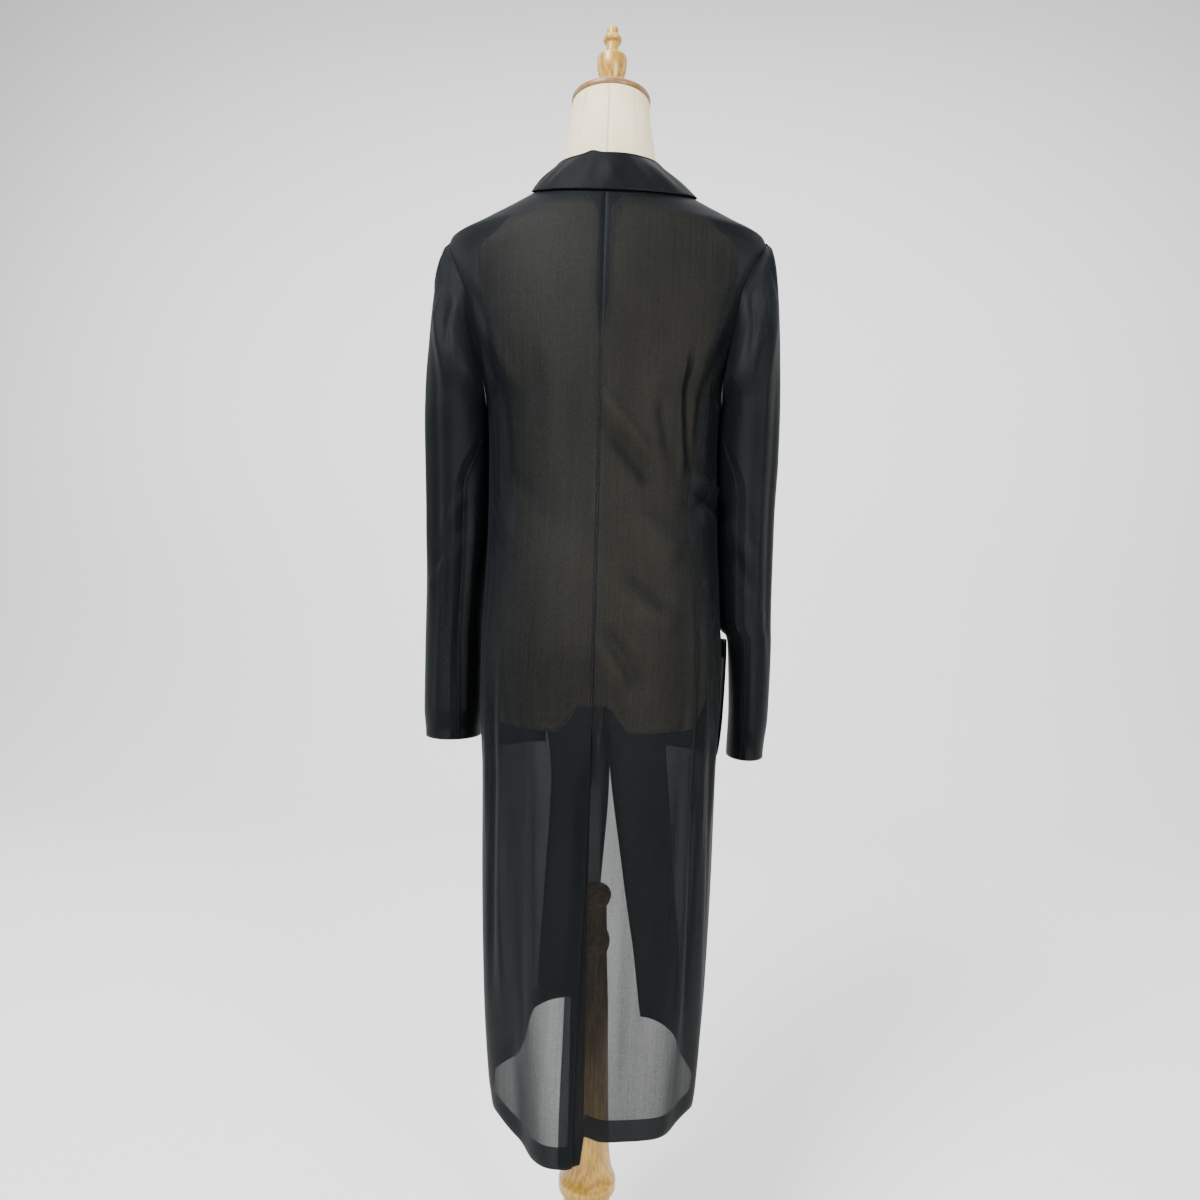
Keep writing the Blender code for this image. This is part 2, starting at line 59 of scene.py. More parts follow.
camera = bpy.data.objects.new("camera", bpy.data.cameras.new("camera"))
camera.data.lens = 26
camera.data.sensor_width = 36
camera.matrix_world = (
    Matrix.Translation(
        (math.sin(CAMERA_TURN) * CAMERA_AWAY, -math.cos(CAMERA_TURN) * CAMERA_AWAY, CAMERA_HEIGHT)
    )
    @ Matrix.Rotation(CAMERA_TURN, 4, "Z")
    @ Matrix.Rotation(math.pi / 2, 4, "X")
    @ Matrix.Rotation(CAMERA_ROLL, 4, "Z")
)
bpy.context.scene.collection.objects.link(camera)
bpy.context.scene.camera = camera
print("camera at", [round(x, 3) for x in camera.location])

# %% [markdown]
# Sheer cloth is seen mostly by what stands behind it, so the studio matters as much as the cloth. A pale
# sweep, floor and wall in one curved sheet, gives an even light ground. Broad lamps above and behind the
# camera skim the shoulders and the hips, which is where real cloth like this turns from black to grey.

# %% Meshes into objects
def shown(name, bm):
    """A mesh made in bmesh, as a smooth object in the scene."""
    mesh = bpy.data.meshes.new(name)
    bm.to_mesh(mesh)
    bm.free()
    mesh.shade_smooth()
    o = bpy.data.objects.new(name, mesh)
    bpy.context.scene.collection.objects.link(o)
    return o


# %% Pale sweep
CURVE_STEPS = 16


def sweep():
    """Floor and wall in one sheet, joined by a wide curve."""
    near, far, curve, high, half = -5.0, 2.4, 1.3, 5.0, 6.0
    bm = bmesh.new()
    line = [bm.verts.new((-half, near, 0)), bm.verts.new((-half, far, 0))]
    for k in range(1, CURVE_STEPS + 1):
        a = math.pi / 2 * k / CURVE_STEPS
        line.append(bm.verts.new((-half, far + curve * math.sin(a), curve * (1 - math.cos(a)))))
    line.append(bm.verts.new((-half, far + curve, high)))
    edges = [bm.edges.new(pair) for pair in zip(line, line[1:])]
    made = bmesh.ops.extrude_edge_only(bm, edges=edges)
    moved = [v for v in made["geom"] if isinstance(v, bmesh.types.BMVert)]
    bmesh.ops.translate(bm, verts=moved, vec=(2 * half, 0, 0))
    bmesh.ops.recalc_face_normals(bm, faces=bm.faces)
    return shown("sweep", bm)


paper = bpy.data.materials.new("sweep_paper")
paper.use_nodes = True
paper_shader = paper.node_tree.nodes["Principled BSDF"]
paper_shader.inputs["Base Color"].default_value = (0.86, 0.86, 0.85, 1)
paper_shader.inputs["Roughness"].default_value = 0.9
ground = sweep()
ground.data.materials.append(paper)

# %% Lamps
def lamp(name, place, aim, size, power, colour=(1, 1, 1)):
    """A square soft light at a place, turned towards an aim."""
    light = bpy.data.lights.new(name, "AREA")
    light.shape = "SQUARE"
    light.size = size
    light.energy = power
    light.color = colour
    o = bpy.data.objects.new(name, light)
    o.location = place
    direction = np.array(aim) - np.array(place)
    yaw = math.atan2(direction[0], -direction[1])
    pitch = math.atan2(math.hypot(direction[0], direction[1]), -direction[2])
    o.rotation_euler = (pitch, 0, yaw + math.pi)
    bpy.context.scene.collection.objects.link(o)
    return o


lamp("key_over_left", (-1.3, -2.0, 3.2), (0, 0, 1.2), 1.2, 235, (0.93, 0.97, 1.0))
lamp("fill_right", (1.55, -2.2, 1.60), (0, 0, 1.0), 0.8, 70, (1.0, 0.98, 0.94))
lamp("top", (0, 0.9, 4.4), (0, 0.6, 0), 2.6, 120)
lamp("wall_wash_left", (-2.6, 0.9, 2.6), (-0.6, 3.7, 1.0), 2.0, 60)
lamp("wall_wash_right", (2.6, 0.9, 2.6), (0.6, 3.7, 1.0), 2.0, 60)

world = bpy.data.worlds.new("studio")
world.use_nodes = True
world.node_tree.nodes["Background"].inputs["Color"].default_value = (1.0, 1.0, 1.0, 1)
world.node_tree.nodes["Background"].inputs["Strength"].default_value = 0.42
bpy.context.scene.world = world

# %% [markdown]
# A coat's shape is easiest to hold as a few level sections: how wide and how deep it is at each height. A
# curve through those rows gives every height between them. Modelling by eye in the viewport would also work,
# but sections in a table keep the panels exactly on one shared form, so that their seams meet.

# %% Curves through tables
def smooth(table, column, at):
    """A column of a table at values of its first column, on a curve that never swings past its rows."""
    x = np.array([row[0] for row in table])
    y = np.array([row[column] for row in table])
    at = np.clip(at, x[0], x[-1])
    i = np.clip(np.searchsorted(x, at, side="right") - 1, 0, len(x) - 2)
    step = np.diff(x)
    slope = np.diff(y) / step
    same_way = slope[:-1] * slope[1:] > 0
    tangent = np.zeros(len(x))
    both = np.where(same_way, slope[:-1] + slope[1:], 1.0)
    tangent[1:-1] = np.where(same_way, 2 * slope[:-1] * slope[1:] / both, 0.0)
    h = step[i]
    t = (at - x[i]) / h
    return (
        (2 * t**3 - 3 * t**2 + 1) * y[i]
        + (t**3 - 2 * t**2 + t) * h * tangent[i]
        + (3 * t**2 - 2 * t**3) * y[i + 1]
        + (t**3 - t**2) * h * tangent[i + 1]
    )


def ramp(a, b, x):
    """0 at a and 1 at b, with soft ends."""
    t = np.clip((np.asarray(x, float) - a) / (b - a), 0, 1)
    return t * t * (3 - 2 * t)


# %% The coat's level sections
# Height, half width on the left, half width on the right, depth behind, depth in front
COAT = (
    (0.280, 0.120, 0.133, 0.131, 0.131),
    (0.350, 0.130, 0.142, 0.133, 0.131),
    (0.450, 0.139, 0.149, 0.134, 0.130),
    (0.600, 0.146, 0.154, 0.134, 0.130),
    (0.730, 0.149, 0.156, 0.134, 0.129),
    (0.800, 0.153, 0.159, 0.135, 0.128),
    (0.880, 0.154, 0.160, 0.134, 0.128),
    (0.960, 0.151, 0.154, 0.126, 0.129),
    (1.060, 0.149, 0.150, 0.113, 0.133),
    (1.140, 0.150, 0.149, 0.109, 0.137),
    (1.200, 0.154, 0.152, 0.108, 0.140),
    (1.240, 0.172, 0.168, 0.1075, 0.140),
    (1.280, 0.190, 0.184, 0.106, 0.136),
    (1.340, 0.203, 0.196, 0.102, 0.122),
    (1.380, 0.209, 0.201, 0.097, 0.108),
    (1.405, 0.211, 0.207, 0.093, 0.098),
    (1.418, 0.208, 0.204, 0.091, 0.093),
    (1.435, 0.175, 0.173, 0.088, 0.087),
    (1.450, 0.143, 0.143, 0.0845, 0.081),
    (1.465, 0.113, 0.114, 0.0805, 0.075),
    (1.476, 0.093, 0.094, 0.0770, 0.070),
    (1.486, 0.079, 0.080, 0.0730, 0.066),
)
UNDERARM = 1.200
SHOULDER = 1.418
print("sections:", len(COAT), "from", COAT[0][0], "to", COAT[-1][0])

# %% [markdown]
# Thin cloth that hangs from the shoulders falls in long soft folds, deepest at the hem and dying out on the
# hips, and it creases on the slant wherever it is held: at the waist, under the arms and beside a seam. Each
# fold is one line of a table, a ridge or a trough with a width and a height, so they can be set one by one,
# and no two are alike.

# %% Folds and creases
# Angle from the centre back with left negative, half width in degrees, height out at the hem, its upper end
FOLDS = (
    (-152.0, 10.0, 0.005, 0.900),
    (-122.0, 11.0, -0.006, 1.000),
    (-98.0, 9.0, 0.005, 0.720),
    (-64.0, 10.0, 0.006, 0.950),
    (-42.0, 9.0, -0.006, 0.800),
    (-20.0, 9.0, 0.005, 0.720),
    (22.0, 10.0, -0.005, 0.720),
    (41.0, 9.0, 0.005, 0.760),
    (63.0, 9.0, 0.007, 1.000),
    (80.0, 8.0, -0.006, 0.860),
    (114.0, 10.0, -0.006, 0.950),
    (150.0, 12.0, 0.004, 0.850),
)

# A crease runs from an angle and a height to another: then its half width and its rise, in metres
CREASES = (
    (48, 1.00, 46, 0.36, 0.0060, 0.0038),
    (53, 0.98, 52, 0.38, 0.0050, -0.0034),
    (58, 0.99, 58, 0.60, 0.0050, 0.0026),
    (-47, 0.99, -50, 0.40, 0.0070, 0.0030),
    (-54, 0.96, -57, 0.42, 0.0060, -0.0032),
    (-35, 0.88, -33, 0.36, 0.0080, -0.0024),
    (-61, 1.06, -64, 0.62, 0.0055, 0.0024),
    (46, 1.104, 92, 1.084, 0.0070, 0.0085),
    (50, 1.084, 88, 1.062, 0.0060, -0.0060),
    (52, 1.068, 84, 1.036, 0.0080, 0.0045),
    (60, 0.985, 66, 0.900, 0.0045, 0.0034),
    (64, 0.980, 70, 0.880, 0.0040, -0.0034),
    (68, 0.960, 72, 0.840, 0.0040, 0.0036),
    (58, 0.900, 67, 0.800, 0.0045, -0.0030),
    (60, 0.870, 69, 0.770, 0.0040, 0.0034),
    (0, 1.200, 26, 1.118, 0.0075, 0.0050),
    (2, 1.165, 28, 1.088, 0.0110, -0.0075),
    (36, 1.265, 43, 1.090, 0.0040, 0.0052),
    (42, 1.260, 49, 1.100, 0.0065, -0.0052),
    (28, 1.200, 36, 1.120, 0.0080, -0.0030),
    (14, 1.060, 44, 1.000, 0.0170, 0.0046),
    (8, 1.010, 36, 0.935, 0.0150, -0.0046),
    (10, 0.965, 42, 0.915, 0.0160, 0.0046),
    (2, 0.930, 24, 0.835, 0.0110, -0.0050),
    (3, 0.900, 16, 0.845, 0.0070, 0.0040),
    (-60, 1.120, -30, 1.070, 0.0120, -0.0026),
    (-70, 1.085, -42, 1.030, 0.0090, 0.0022),
    (-66, 1.050, -50, 1.000, 0.0070, -0.0022),
    (-58, 1.330, -40, 1.200, 0.0120, 0.0024),
    (-56, 1.270, -48, 1.090, 0.0080, -0.0024),
    (-62, 1.220, -56, 1.060, 0.0070, 0.0020),
    (57, 1.330, 42, 1.210, 0.0120, 0.0022),
    (57, 1.280, 51, 1.110, 0.0070, -0.0026),
    (63, 1.220, 58, 1.080, 0.0060, 0.0026),
    (68, 1.200, 64, 1.060, 0.0050, -0.0022),
    (-22, 1.300, -24, 1.060, 0.0110, 0.0012),
    (-10, 1.240, -11, 1.000, 0.0090, -0.0010),
    (12, 1.320, 13, 1.180, 0.0110, -0.0012),
    (26, 1.300, 24, 1.140, 0.0120, 0.0012),
    (-26, 0.840, -24, 0.480, 0.0070, 0.0022),
    (-14, 0.770, -12, 0.330, 0.0080, -0.0026),
    (14, 0.760, 15, 0.350, 0.0080, 0.0022),
    (30, 0.800, 29, 0.380, 0.0090, -0.0024),
    (66, 0.880, 68, 0.420, 0.0060, -0.0028),
    (72, 0.960, 73, 0.640, 0.0050, 0.0022),
    (100, 1.120, 128, 1.060, 0.0100, -0.0024),
    (104, 1.080, 136, 1.010, 0.0090, 0.0026),
    (-102, 1.130, -130, 1.070, 0.0100, -0.0026),
    (-100, 1.070, -134, 1.000, 0.0110, 0.0024),
    (124, 1.250, 150, 1.130, 0.0100, 0.0020),
    (-124, 1.250, -152, 1.120, 0.0110, 0.0022),
    (118, 0.700, 121, 0.360, 0.0080, 0.0030),
    (132, 0.720, 134, 0.380, 0.0080, -0.0028),
    (160, 0.740, 158, 0.380, 0.0070, 0.0022),
    (-112, 0.700, -115, 0.380, 0.0080, 0.0028),
    (-138, 0.730, -136, 0.380, 0.0080, -0.0030),
    (-164, 0.720, -166, 0.400, 0.0070, 0.0020),
)

# Puckers where the long centre seam draws the cloth up: height, length along it, and how far each stands out
PUCKERS = tuple(
    (1.115 - 0.0235 * k + 0.004 * math.sin(2.4 * k), 0.015 + 0.005 * (k * 2 % 3), 0.0011 + 0.0006 * (k % 2))
    for k in range(14)
)
PUCKER_HALF = 0.0030
PUCKER_RISE = 0.006
MEAN_RADIUS = 0.145
FOLD_FOOT = 0.30
ARM_SIDE = (72, 84, 100, 112)
ARM_LOW = (0.70, 0.74)
CREASES_END = (1.34, 1.40)


def line_out(s, z, start, end, half, height):
    """The height of one crease over points: a soft ridge along a line, fading towards both of its ends."""
    along = np.array(end) - np.array(start)
    length = math.hypot(*along)
    ds, dz = s - start[0], z - start[1]
    t = (ds * along[0] + dz * along[1]) / length**2
    beside = (ds * along[1] - dz * along[0]) / length
    return height * np.exp(-((beside / half) ** 2)) * ramp(0, 0.25, t) * (1 - ramp(0.75, 1, t))


def fold_out(degrees, z):
    """How far folds and creases push the coat out, with no ridge beside an arm, where a sleeve lies close."""
    out = np.zeros(np.broadcast(degrees, z).shape)
    for at, width, height, top in FOLDS:
        out = out + height * np.exp(-(((degrees - at) / width) ** 2)) * ramp(top, FOLD_FOOT, z)
    fine = np.zeros_like(out)
    s = np.radians(degrees) * MEAN_RADIUS
    for a, za, b, zb, half, height in CREASES:
        ends = (math.radians(a) * MEAN_RADIUS, za), (math.radians(b) * MEAN_RADIUS, zb)
        fine = fine + line_out(s, z, *ends, half, height)
    for at, length, height in PUCKERS:
        fine = fine + line_out(s, z, (-0.002, at), (length, at - PUCKER_RISE), PUCKER_HALF, height)
    away = abs(degrees)
    beside_arm = ramp(*ARM_SIDE[:2], away) * (1 - ramp(*ARM_SIDE[2:], away)) * ramp(*ARM_LOW, z)
    return out + np.where(fine > 0, fine * (1 - beside_arm), fine) * (1 - ramp(*CREASES_END, z))


print("folds:", len(FOLDS), "creases:", len(CREASES), "puckers:", len(PUCKERS))

# %% The coat's surface
def coat_size(degrees, z):
    """The coat's half width and depth at heights, on the side where an angle lies."""
    half = np.where(degrees < 0, smooth(COAT, 1, z), smooth(COAT, 2, z))
    return half, np.where(abs(degrees) < 90, smooth(COAT, 3, z), smooth(COAT, 4, z))


def coat(degrees, z):
    """Points of the coat at angles from the centre back, left negative, and at heights."""
    a = np.radians(degrees)
    half, deep = coat_size(degrees, z)
    nx, ny = np.sin(a) / half, -np.cos(a) / deep
    push = fold_out(degrees, z) / np.hypot(nx, ny)
    z = z + 0 * a
    return np.stack([half * np.sin(a) + nx * push, -deep * np.cos(a) + ny * push, z], axis=-1)


def lifted(surface, a, b, out, step_a, step_b):
    """Points of a surface at two coordinates, moved out along the surface's own normal."""
    across = surface(a + step_a, b) - surface(a - step_a, b)
    up = surface(a, b + step_b) - surface(a, b - step_b)
    normal = np.cross(across, up)
    normal = normal / np.linalg.norm(normal, axis=-1, keepdims=True)
    return surface(a, b) + normal * np.asarray(out)[..., None]


def on_coat(degrees, z, out):
    return lifted(coat, degrees, z, out, 0.5, 0.002)


def turn_of(metres, degrees, z):
    """The angle that a distance along the cloth takes at an angle and a height."""
    a = np.radians(degrees)
    half, deep = coat_size(degrees, z)
    return np.degrees(metres / np.hypot(half * np.cos(a), deep * np.sin(a)))


print("waist half way round:", round(float(coat(90.0, 1.06)[0]), 4))

# %% [markdown]
# Sheer cloth has nowhere to hide its edges: a hem, a seam allowance or a facing shows as a darker band,
# because light crosses the cloth twice there. So every panel is a single thin surface whose edges are really
# turned in and lie back inside it, as they are pressed on the real coat. The bands then come out by
# themselves, with a soft folded lip. A flat sheet with painted dark bands would look the same only from afar.

# %% A panel with turned-in edges
PLY = 0.0009
TURN_STEPS = 4
LIP = 0.00042
LIP_BACK = 0.0002
SEAM_TURN = 0.011
HEM_TURN = 0.026
NECK_TURN = 0.010


def stations(count, first=0.0, last=0.0):
    """Places along a panel: the share of the way, metres beyond that, metres inside the cloth."""
    rows = []
    if first:
        rows += [(0.0, first * (1 - k / TURN_STEPS), PLY) for k in range(TURN_STEPS)]
        rows += [(0.0, LIP_BACK, PLY), (0.0, -LIP, PLY / 2)]
    start = len(rows)
    rows += [(k / count, 0.0, 0.0) for k in range(count + 1)]
    end = len(rows) - 1
    if last:
        rows += [(1.0, LIP, PLY / 2), (1.0, -LIP_BACK, PLY)]
        rows += [(1.0, -last * k / TURN_STEPS, PLY) for k in range(1, TURN_STEPS + 1)]
    return np.array(rows).T, start, end


def walked(points, start, end, shift, axis):
    """Metres walked over the cloth one way along a grid, negative or turned back beyond its edges."""
    points = np.moveaxis(points, axis, 0)
    steps = np.linalg.norm(np.diff(points[start : end + 1], axis=0), axis=-1)
    main = np.concatenate([np.zeros((1, steps.shape[1])), np.cumsum(steps, axis=0)])
    whole = [main[0] + m for m in shift[:start]] + list(main) + [main[-1] + m for m in shift[end + 1 :]]
    return np.moveaxis(np.array(whole), 0, axis)


def panel(name, across, along, place, plies=1.0, flip=False):
    """A grid placed by shares, shifts and depth, with its woven map, distance to an edge and plies."""
    (share_u, shift_u, deep_u), u0, u1 = across
    (share_v, shift_v, deep_v), v0, v1 = along
    points = place(
        share_u[None, :] + 0 * share_v[:, None],
        shift_u[None, :] + 0 * share_v[:, None],
        share_v[:, None] + 0 * share_u[None, :],
        shift_v[:, None] + 0 * share_u[None, :],
        deep_u[None, :] + deep_v[:, None],
    )
    s = walked(points, u0, u1, shift_u, 1)
    t = walked(points, v0, v1, shift_v, 0)
    side_edge = np.minimum(abs(s), abs(s[:, u1 : u1 + 1] - s))
    edge = np.minimum(side_edge, np.minimum(abs(t), abs(t[v1 : v1 + 1] - t)))
    wide, high = len(share_u) - 1, len(share_v) - 1
    bm = bmesh.new()
    bmesh.ops.create_grid(bm, x_segments=wide, y_segments=high, size=0.5)
    i = [round((v.co.x + 0.5) * wide) for v in bm.verts]
    j = [round((v.co.y + 0.5) * high) for v in bm.verts]
    for v, column, row in zip(bm.verts, i, j):
        v.co = points[row, column]
    if flip:
        bmesh.ops.reverse_faces(bm, faces=bm.faces)
    o = shown(name, bm)
    mesh = o.data
    corner = np.empty(len(mesh.loops), dtype=np.int32)
    mesh.loops.foreach_get("vertex_index", corner)
    woven = np.stack([s[j, i], t[j, i]], axis=-1).astype(np.float32)
    mesh.uv_layers.new(name="woven").data.foreach_set("uv", woven[corner].ravel())
    for word, values in (("edge", edge[j, i]), ("plies", np.full(len(i), plies))):
        mesh.attributes.new(word, "FLOAT", "POINT").data.foreach_set("value", values.astype(np.float32))
    return o


print("turned-in hem:", HEM_TURN, "seam allowance:", SEAM_TURN)

# %% [markdown]
# The materials come next, because each piece takes its own as it is made. A shader node group is built once
# for each effect that several finishes share. This helper puts nodes into a tree in one line each, and links
# every input that is given as another node's output.

# %% Node helpers
VECTOR = "NodeSocketVector"
FLOAT = "NodeSocketFloat"


def put(tree, kind, inputs=(), **settings):
    """A node of a kind in a tree, with its settings and its inputs, linked or set."""
    n = tree.nodes.new(kind)
    for key, value in settings.items():
        setattr(n, key, value)
    for key, value in dict(inputs).items():
        if isinstance(value, bpy.types.NodeSocket):
            tree.links.new(value, n.inputs[key])
        else:
            n.inputs[key].default_value = value
    return n


def sums(tree, operation, a, b=0.0, c=0.0):
    """The result of a Math node."""
    return put(tree, "ShaderNodeMath", {0: a, 1: b, 2: c}, operation=operation).outputs[0]


def group(name, takes, gives):
    """An empty node group with named sockets, and its two end nodes."""
    tree = bpy.data.node_groups.new(name, "ShaderNodeTree")
    for word, kind, value in takes:
        socket = tree.interface.new_socket(word, in_out="INPUT", socket_type=kind)
        if value is not None:
            socket.default_value = value
    for word, kind in gives:
        tree.interface.new_socket(word, in_out="OUTPUT", socket_type=kind)
    return tree, tree.nodes.new("NodeGroupInput"), tree.nodes.new("NodeGroupOutput")


def use(tree, name, inputs=()):
    """A node group placed in a material."""
    return put(tree, "ShaderNodeGroup", inputs, node_tree=bpy.data.node_groups[name])


def finish(name, slot_values):
    """A new material with its Principled shader's plain values set."""
    m = bpy.data.materials.new(name)
    m.use_nodes = True
    shader = m.node_tree.nodes["Principled BSDF"]
    for key, value in slot_values.items():
        shader.inputs[key].default_value = value
    return m, m.node_tree, shader


def read(tree, word):
    """A value that is kept on the mesh's points."""
    return put(tree, "ShaderNodeAttribute", attribute_name=word).outputs["Fac"]


def toned(tree, shader, factor, first, second):
    """Gives the shader a base colour between two tones."""
    tone = put(tree, "ShaderNodeMix", {"Factor": factor, "A": first, "B": second}, data_type="RGBA")
    tree.links.new(tone.outputs["Result"], shader.inputs["Base Color"])


def raised(tree, shader, height, strength, distance):
    """Gives the shader a bump from a height."""
    bump = put(tree, "ShaderNodeBump", {"Height": height, "Strength": strength, "Distance": distance})
    tree.links.new(bump.outputs[0], shader.inputs["Normal"])


# %% [markdown]
# Both cloths here, the sheer black one and the form's linen, are plain weaves. The weave group makes the over
# and under of the threads as a height, a mask of the tiny openings between them, and the slubs, which are
# thicker runs of single threads. It reads metres on the cloth, so a thread has the same size on every panel.

# %% Plain weave group
def weave_group():
    tree, source, result = group(
        "plain_weave",
        [("Cloth", VECTOR, None), ("Thread", FLOAT, 0.0006), ("Slub", FLOAT, 0.5)],
        [("Height", FLOAT), ("Opening", FLOAT), ("Slubs", FLOAT)],
    )
    cloth, thread = source.outputs["Cloth"], source.outputs["Thread"]
    turns = sums(tree, "DIVIDE", math.pi, thread)
    parts = put(tree, "ShaderNodeSeparateXYZ", {0: cloth})
    warp = sums(tree, "SINE", sums(tree, "MULTIPLY", parts.outputs[0], turns))
    weft = sums(tree, "SINE", sums(tree, "MULTIPLY", parts.outputs[1], turns))
    over = sums(tree, "MULTIPLY_ADD", sums(tree, "MULTIPLY", warp, weft), 0.5, 0.5)
    crossing = sums(tree, "MAXIMUM", sums(tree, "ABSOLUTE", warp), sums(tree, "ABSOLUTE", weft))
    opening = sums(tree, "SUBTRACT", 1.0, crossing)
    runs = []
    for along, seed in (((330.0, 7.0, 1.0), 3.0), ((16.0, 1100.0, 1.0), 7.0)):
        stretched = put(tree, "ShaderNodeVectorMath", {0: cloth, 1: along}, operation="MULTIPLY")
        noise = put(
            tree,
            "ShaderNodeTexNoise",
            {"Vector": stretched.outputs[0], "W": seed, "Scale": 1.0, "Detail": 2.0},
            noise_dimensions="4D",
        )
        runs.append(sums(tree, "SUBTRACT", noise.outputs["Fac"], 0.5))
    slubs = sums(tree, "MULTIPLY", sums(tree, "MULTIPLY_ADD", runs[1], 0.4, runs[0]), source.outputs["Slub"])
    height = sums(tree, "ADD", over, slubs)
    for word, value in (("Height", height), ("Opening", opening), ("Slubs", slubs)):
        tree.links.new(value, result.inputs[word])
    return tree


weave_group()

# %% [markdown]
# Real surfaces are never one even tone. The cast group gives a slow, cloudy change over a piece, and the edge
# group gives a mask that is strongest at an edge: for a polished bead on wood, for a rubbed fold on cloth that
# also carries a painted sheen, and for the painted shade in the linen's seam grooves.

# %% Slow change and edge mask groups
def cast_group():
    tree, source, result = group(
        "slow_cast",
        [("Place", VECTOR, None), ("Size", FLOAT, 0.1), ("Seed", FLOAT, 0.0)],
        [("Cast", FLOAT)],
    )
    rate = sums(tree, "DIVIDE", 1.0, source.outputs["Size"])
    noise = put(
        tree,
        "ShaderNodeTexNoise",
        {"Vector": source.outputs["Place"], "W": source.outputs["Seed"], "Scale": rate, "Detail": 3.0},
        noise_dimensions="4D",
    )
    tree.links.new(sums(tree, "MULTIPLY_ADD", noise.outputs["Fac"], 2.0, -1.0), result.inputs["Cast"])
    return tree


def near_edge_group():
    tree, source, result = group(
        "near_edge",
        [("Distance", FLOAT, 0.0), ("Reach", FLOAT, 0.003), ("Cast", FLOAT, 0.0)],
        [("Nearness", FLOAT)],
    )
    near = sums(tree, "DIVIDE", source.outputs["Distance"], source.outputs["Reach"])
    near = sums(tree, "MAXIMUM", sums(tree, "SUBTRACT", 1.0, near), 0.0)
    patchy = sums(tree, "MULTIPLY_ADD", source.outputs["Cast"], 0.6, 0.7)
    edge_nearness = put(tree, "ShaderNodeMath", {0: near, 1: patchy}, operation="MULTIPLY", use_clamp=True)
    tree.links.new(edge_nearness.outputs[0], result.inputs["Nearness"])
    return tree


cast_group()
near_edge_group()
print("groups:", [g.name for g in bpy.data.node_groups])

# %% [markdown]
# The sheer cloth lets about a sixth of the light straight through each layer. Its threads are dull black with
# a cool cast and a soft sheen, and slubs make faint streaks. Where two plies are sewn as one, as in a collar,
# the light left over is the single ply's share raised to the number of plies. A fold turned away from the eye
# is crossed on the slant, so it looks darker for the same reason, as a pane of tinted glass does at its rim.

# %% Sheer black cloth
LIGHT_THROUGH = 0.155
STEEPEST = 0.22
THREAD = 0.00045
GRAIN = 0.0017
THREAD_DARK = (0.0010, 0.0015, 0.0019, 1)
THREAD_LIGHT = (0.0062, 0.0078, 0.0092, 1)


def sheer_cloth():
    m, tree, shader = finish(
        "sheer_black_cloth",
        {
            "Specular IOR Level": 0.065,
            "Sheen Weight": 0.022,
            "Sheen Roughness": 0.45,
            "Sheen Tint": (0.70, 0.76, 0.80, 1),
        },
    )
    woven = put(tree, "ShaderNodeUVMap", uv_map="woven").outputs[0]
    place = put(tree, "ShaderNodeTexCoord").outputs["Object"]
    edge = read(tree, "edge")
    plies = read(tree, "plies")
    weave = use(tree, "plain_weave", {"Cloth": woven, "Thread": THREAD, "Slub": 0.9})
    cast = use(tree, "slow_cast", {"Place": place, "Size": 0.09, "Seed": 2.0}).outputs[0]
    edge_nearness = use(tree, "near_edge", {"Distance": edge, "Reach": 0.0022, "Cast": cast}).outputs[0]

    grain = use(tree, "slow_cast", {"Place": place, "Size": GRAIN, "Seed": 4.0}).outputs[0]

    through = sums(tree, "MULTIPLY_ADD", weave.outputs["Slubs"], 0.5, 1.0)
    through = sums(tree, "MULTIPLY", through, sums(tree, "MULTIPLY_ADD", grain, 0.45, 1.0))
    through = sums(tree, "MULTIPLY", through, sums(tree, "MULTIPLY_ADD", cast, 0.05, 1.0))
    through = sums(tree, "MULTIPLY", through, sums(tree, "MULTIPLY_ADD", weave.outputs["Opening"], 0.5, 0.9))
    through = sums(tree, "MULTIPLY", through, LIGHT_THROUGH)
    facing_away = put(tree, "ShaderNodeLayerWeight", {"Blend": 0.5}).outputs["Facing"]
    slant = sums(tree, "MAXIMUM", sums(tree, "SUBTRACT", 1.0, facing_away), STEEPEST)
    left = sums(tree, "POWER", through, sums(tree, "DIVIDE", plies, slant))
    alpha = put(tree, "ShaderNodeMath", {0: 1.0, 1: left}, operation="SUBTRACT", use_clamp=True).outputs[0]
    tree.links.new(alpha, shader.inputs["Alpha"])

    lighter = sums(tree, "MULTIPLY_ADD", weave.outputs["Slubs"], 0.8, 0.35)
    # Painted sheen and wear: the base colour is lighter near each panel's pressed and turned edges.
    lighter = sums(tree, "MULTIPLY_ADD", edge_nearness, 0.6, lighter)
    lighter = sums(tree, "MULTIPLY_ADD", grain, 0.5, lighter)
    lighter = sums(tree, "MULTIPLY_ADD", cast, 0.2, lighter)
    toned(tree, shader, lighter, THREAD_DARK, THREAD_LIGHT)
    rough = sums(tree, "MULTIPLY_ADD", weave.outputs["Height"], 0.10, 0.50)
    tree.links.new(sums(tree, "MULTIPLY_ADD", edge_nearness, -0.12, rough), shader.inputs["Roughness"])
    raised(tree, shader, sums(tree, "MULTIPLY_ADD", grain, 0.4, weave.outputs["Height"]), 0.3, 0.00015)
    return m


cloth = sheer_cloth()
print("light left by two plies:", round(LIGHT_THROUGH**2, 3))

# %% [markdown]
# The form under the coat is padded and covered with undyed linen. Its finish is matte, a little hairy, creamy
# with faint handling marks, and its seams are pressed grooves with a row of stitches on each side.

# %% Linen cover
LINEN_THREAD = 0.0007
LINEN_DARK = (0.58, 0.45, 0.27, 1)
LINEN_LIGHT = (0.88, 0.77, 0.52, 1)
STITCH = 0.003
STITCH_FROM_SEAM = 0.0032


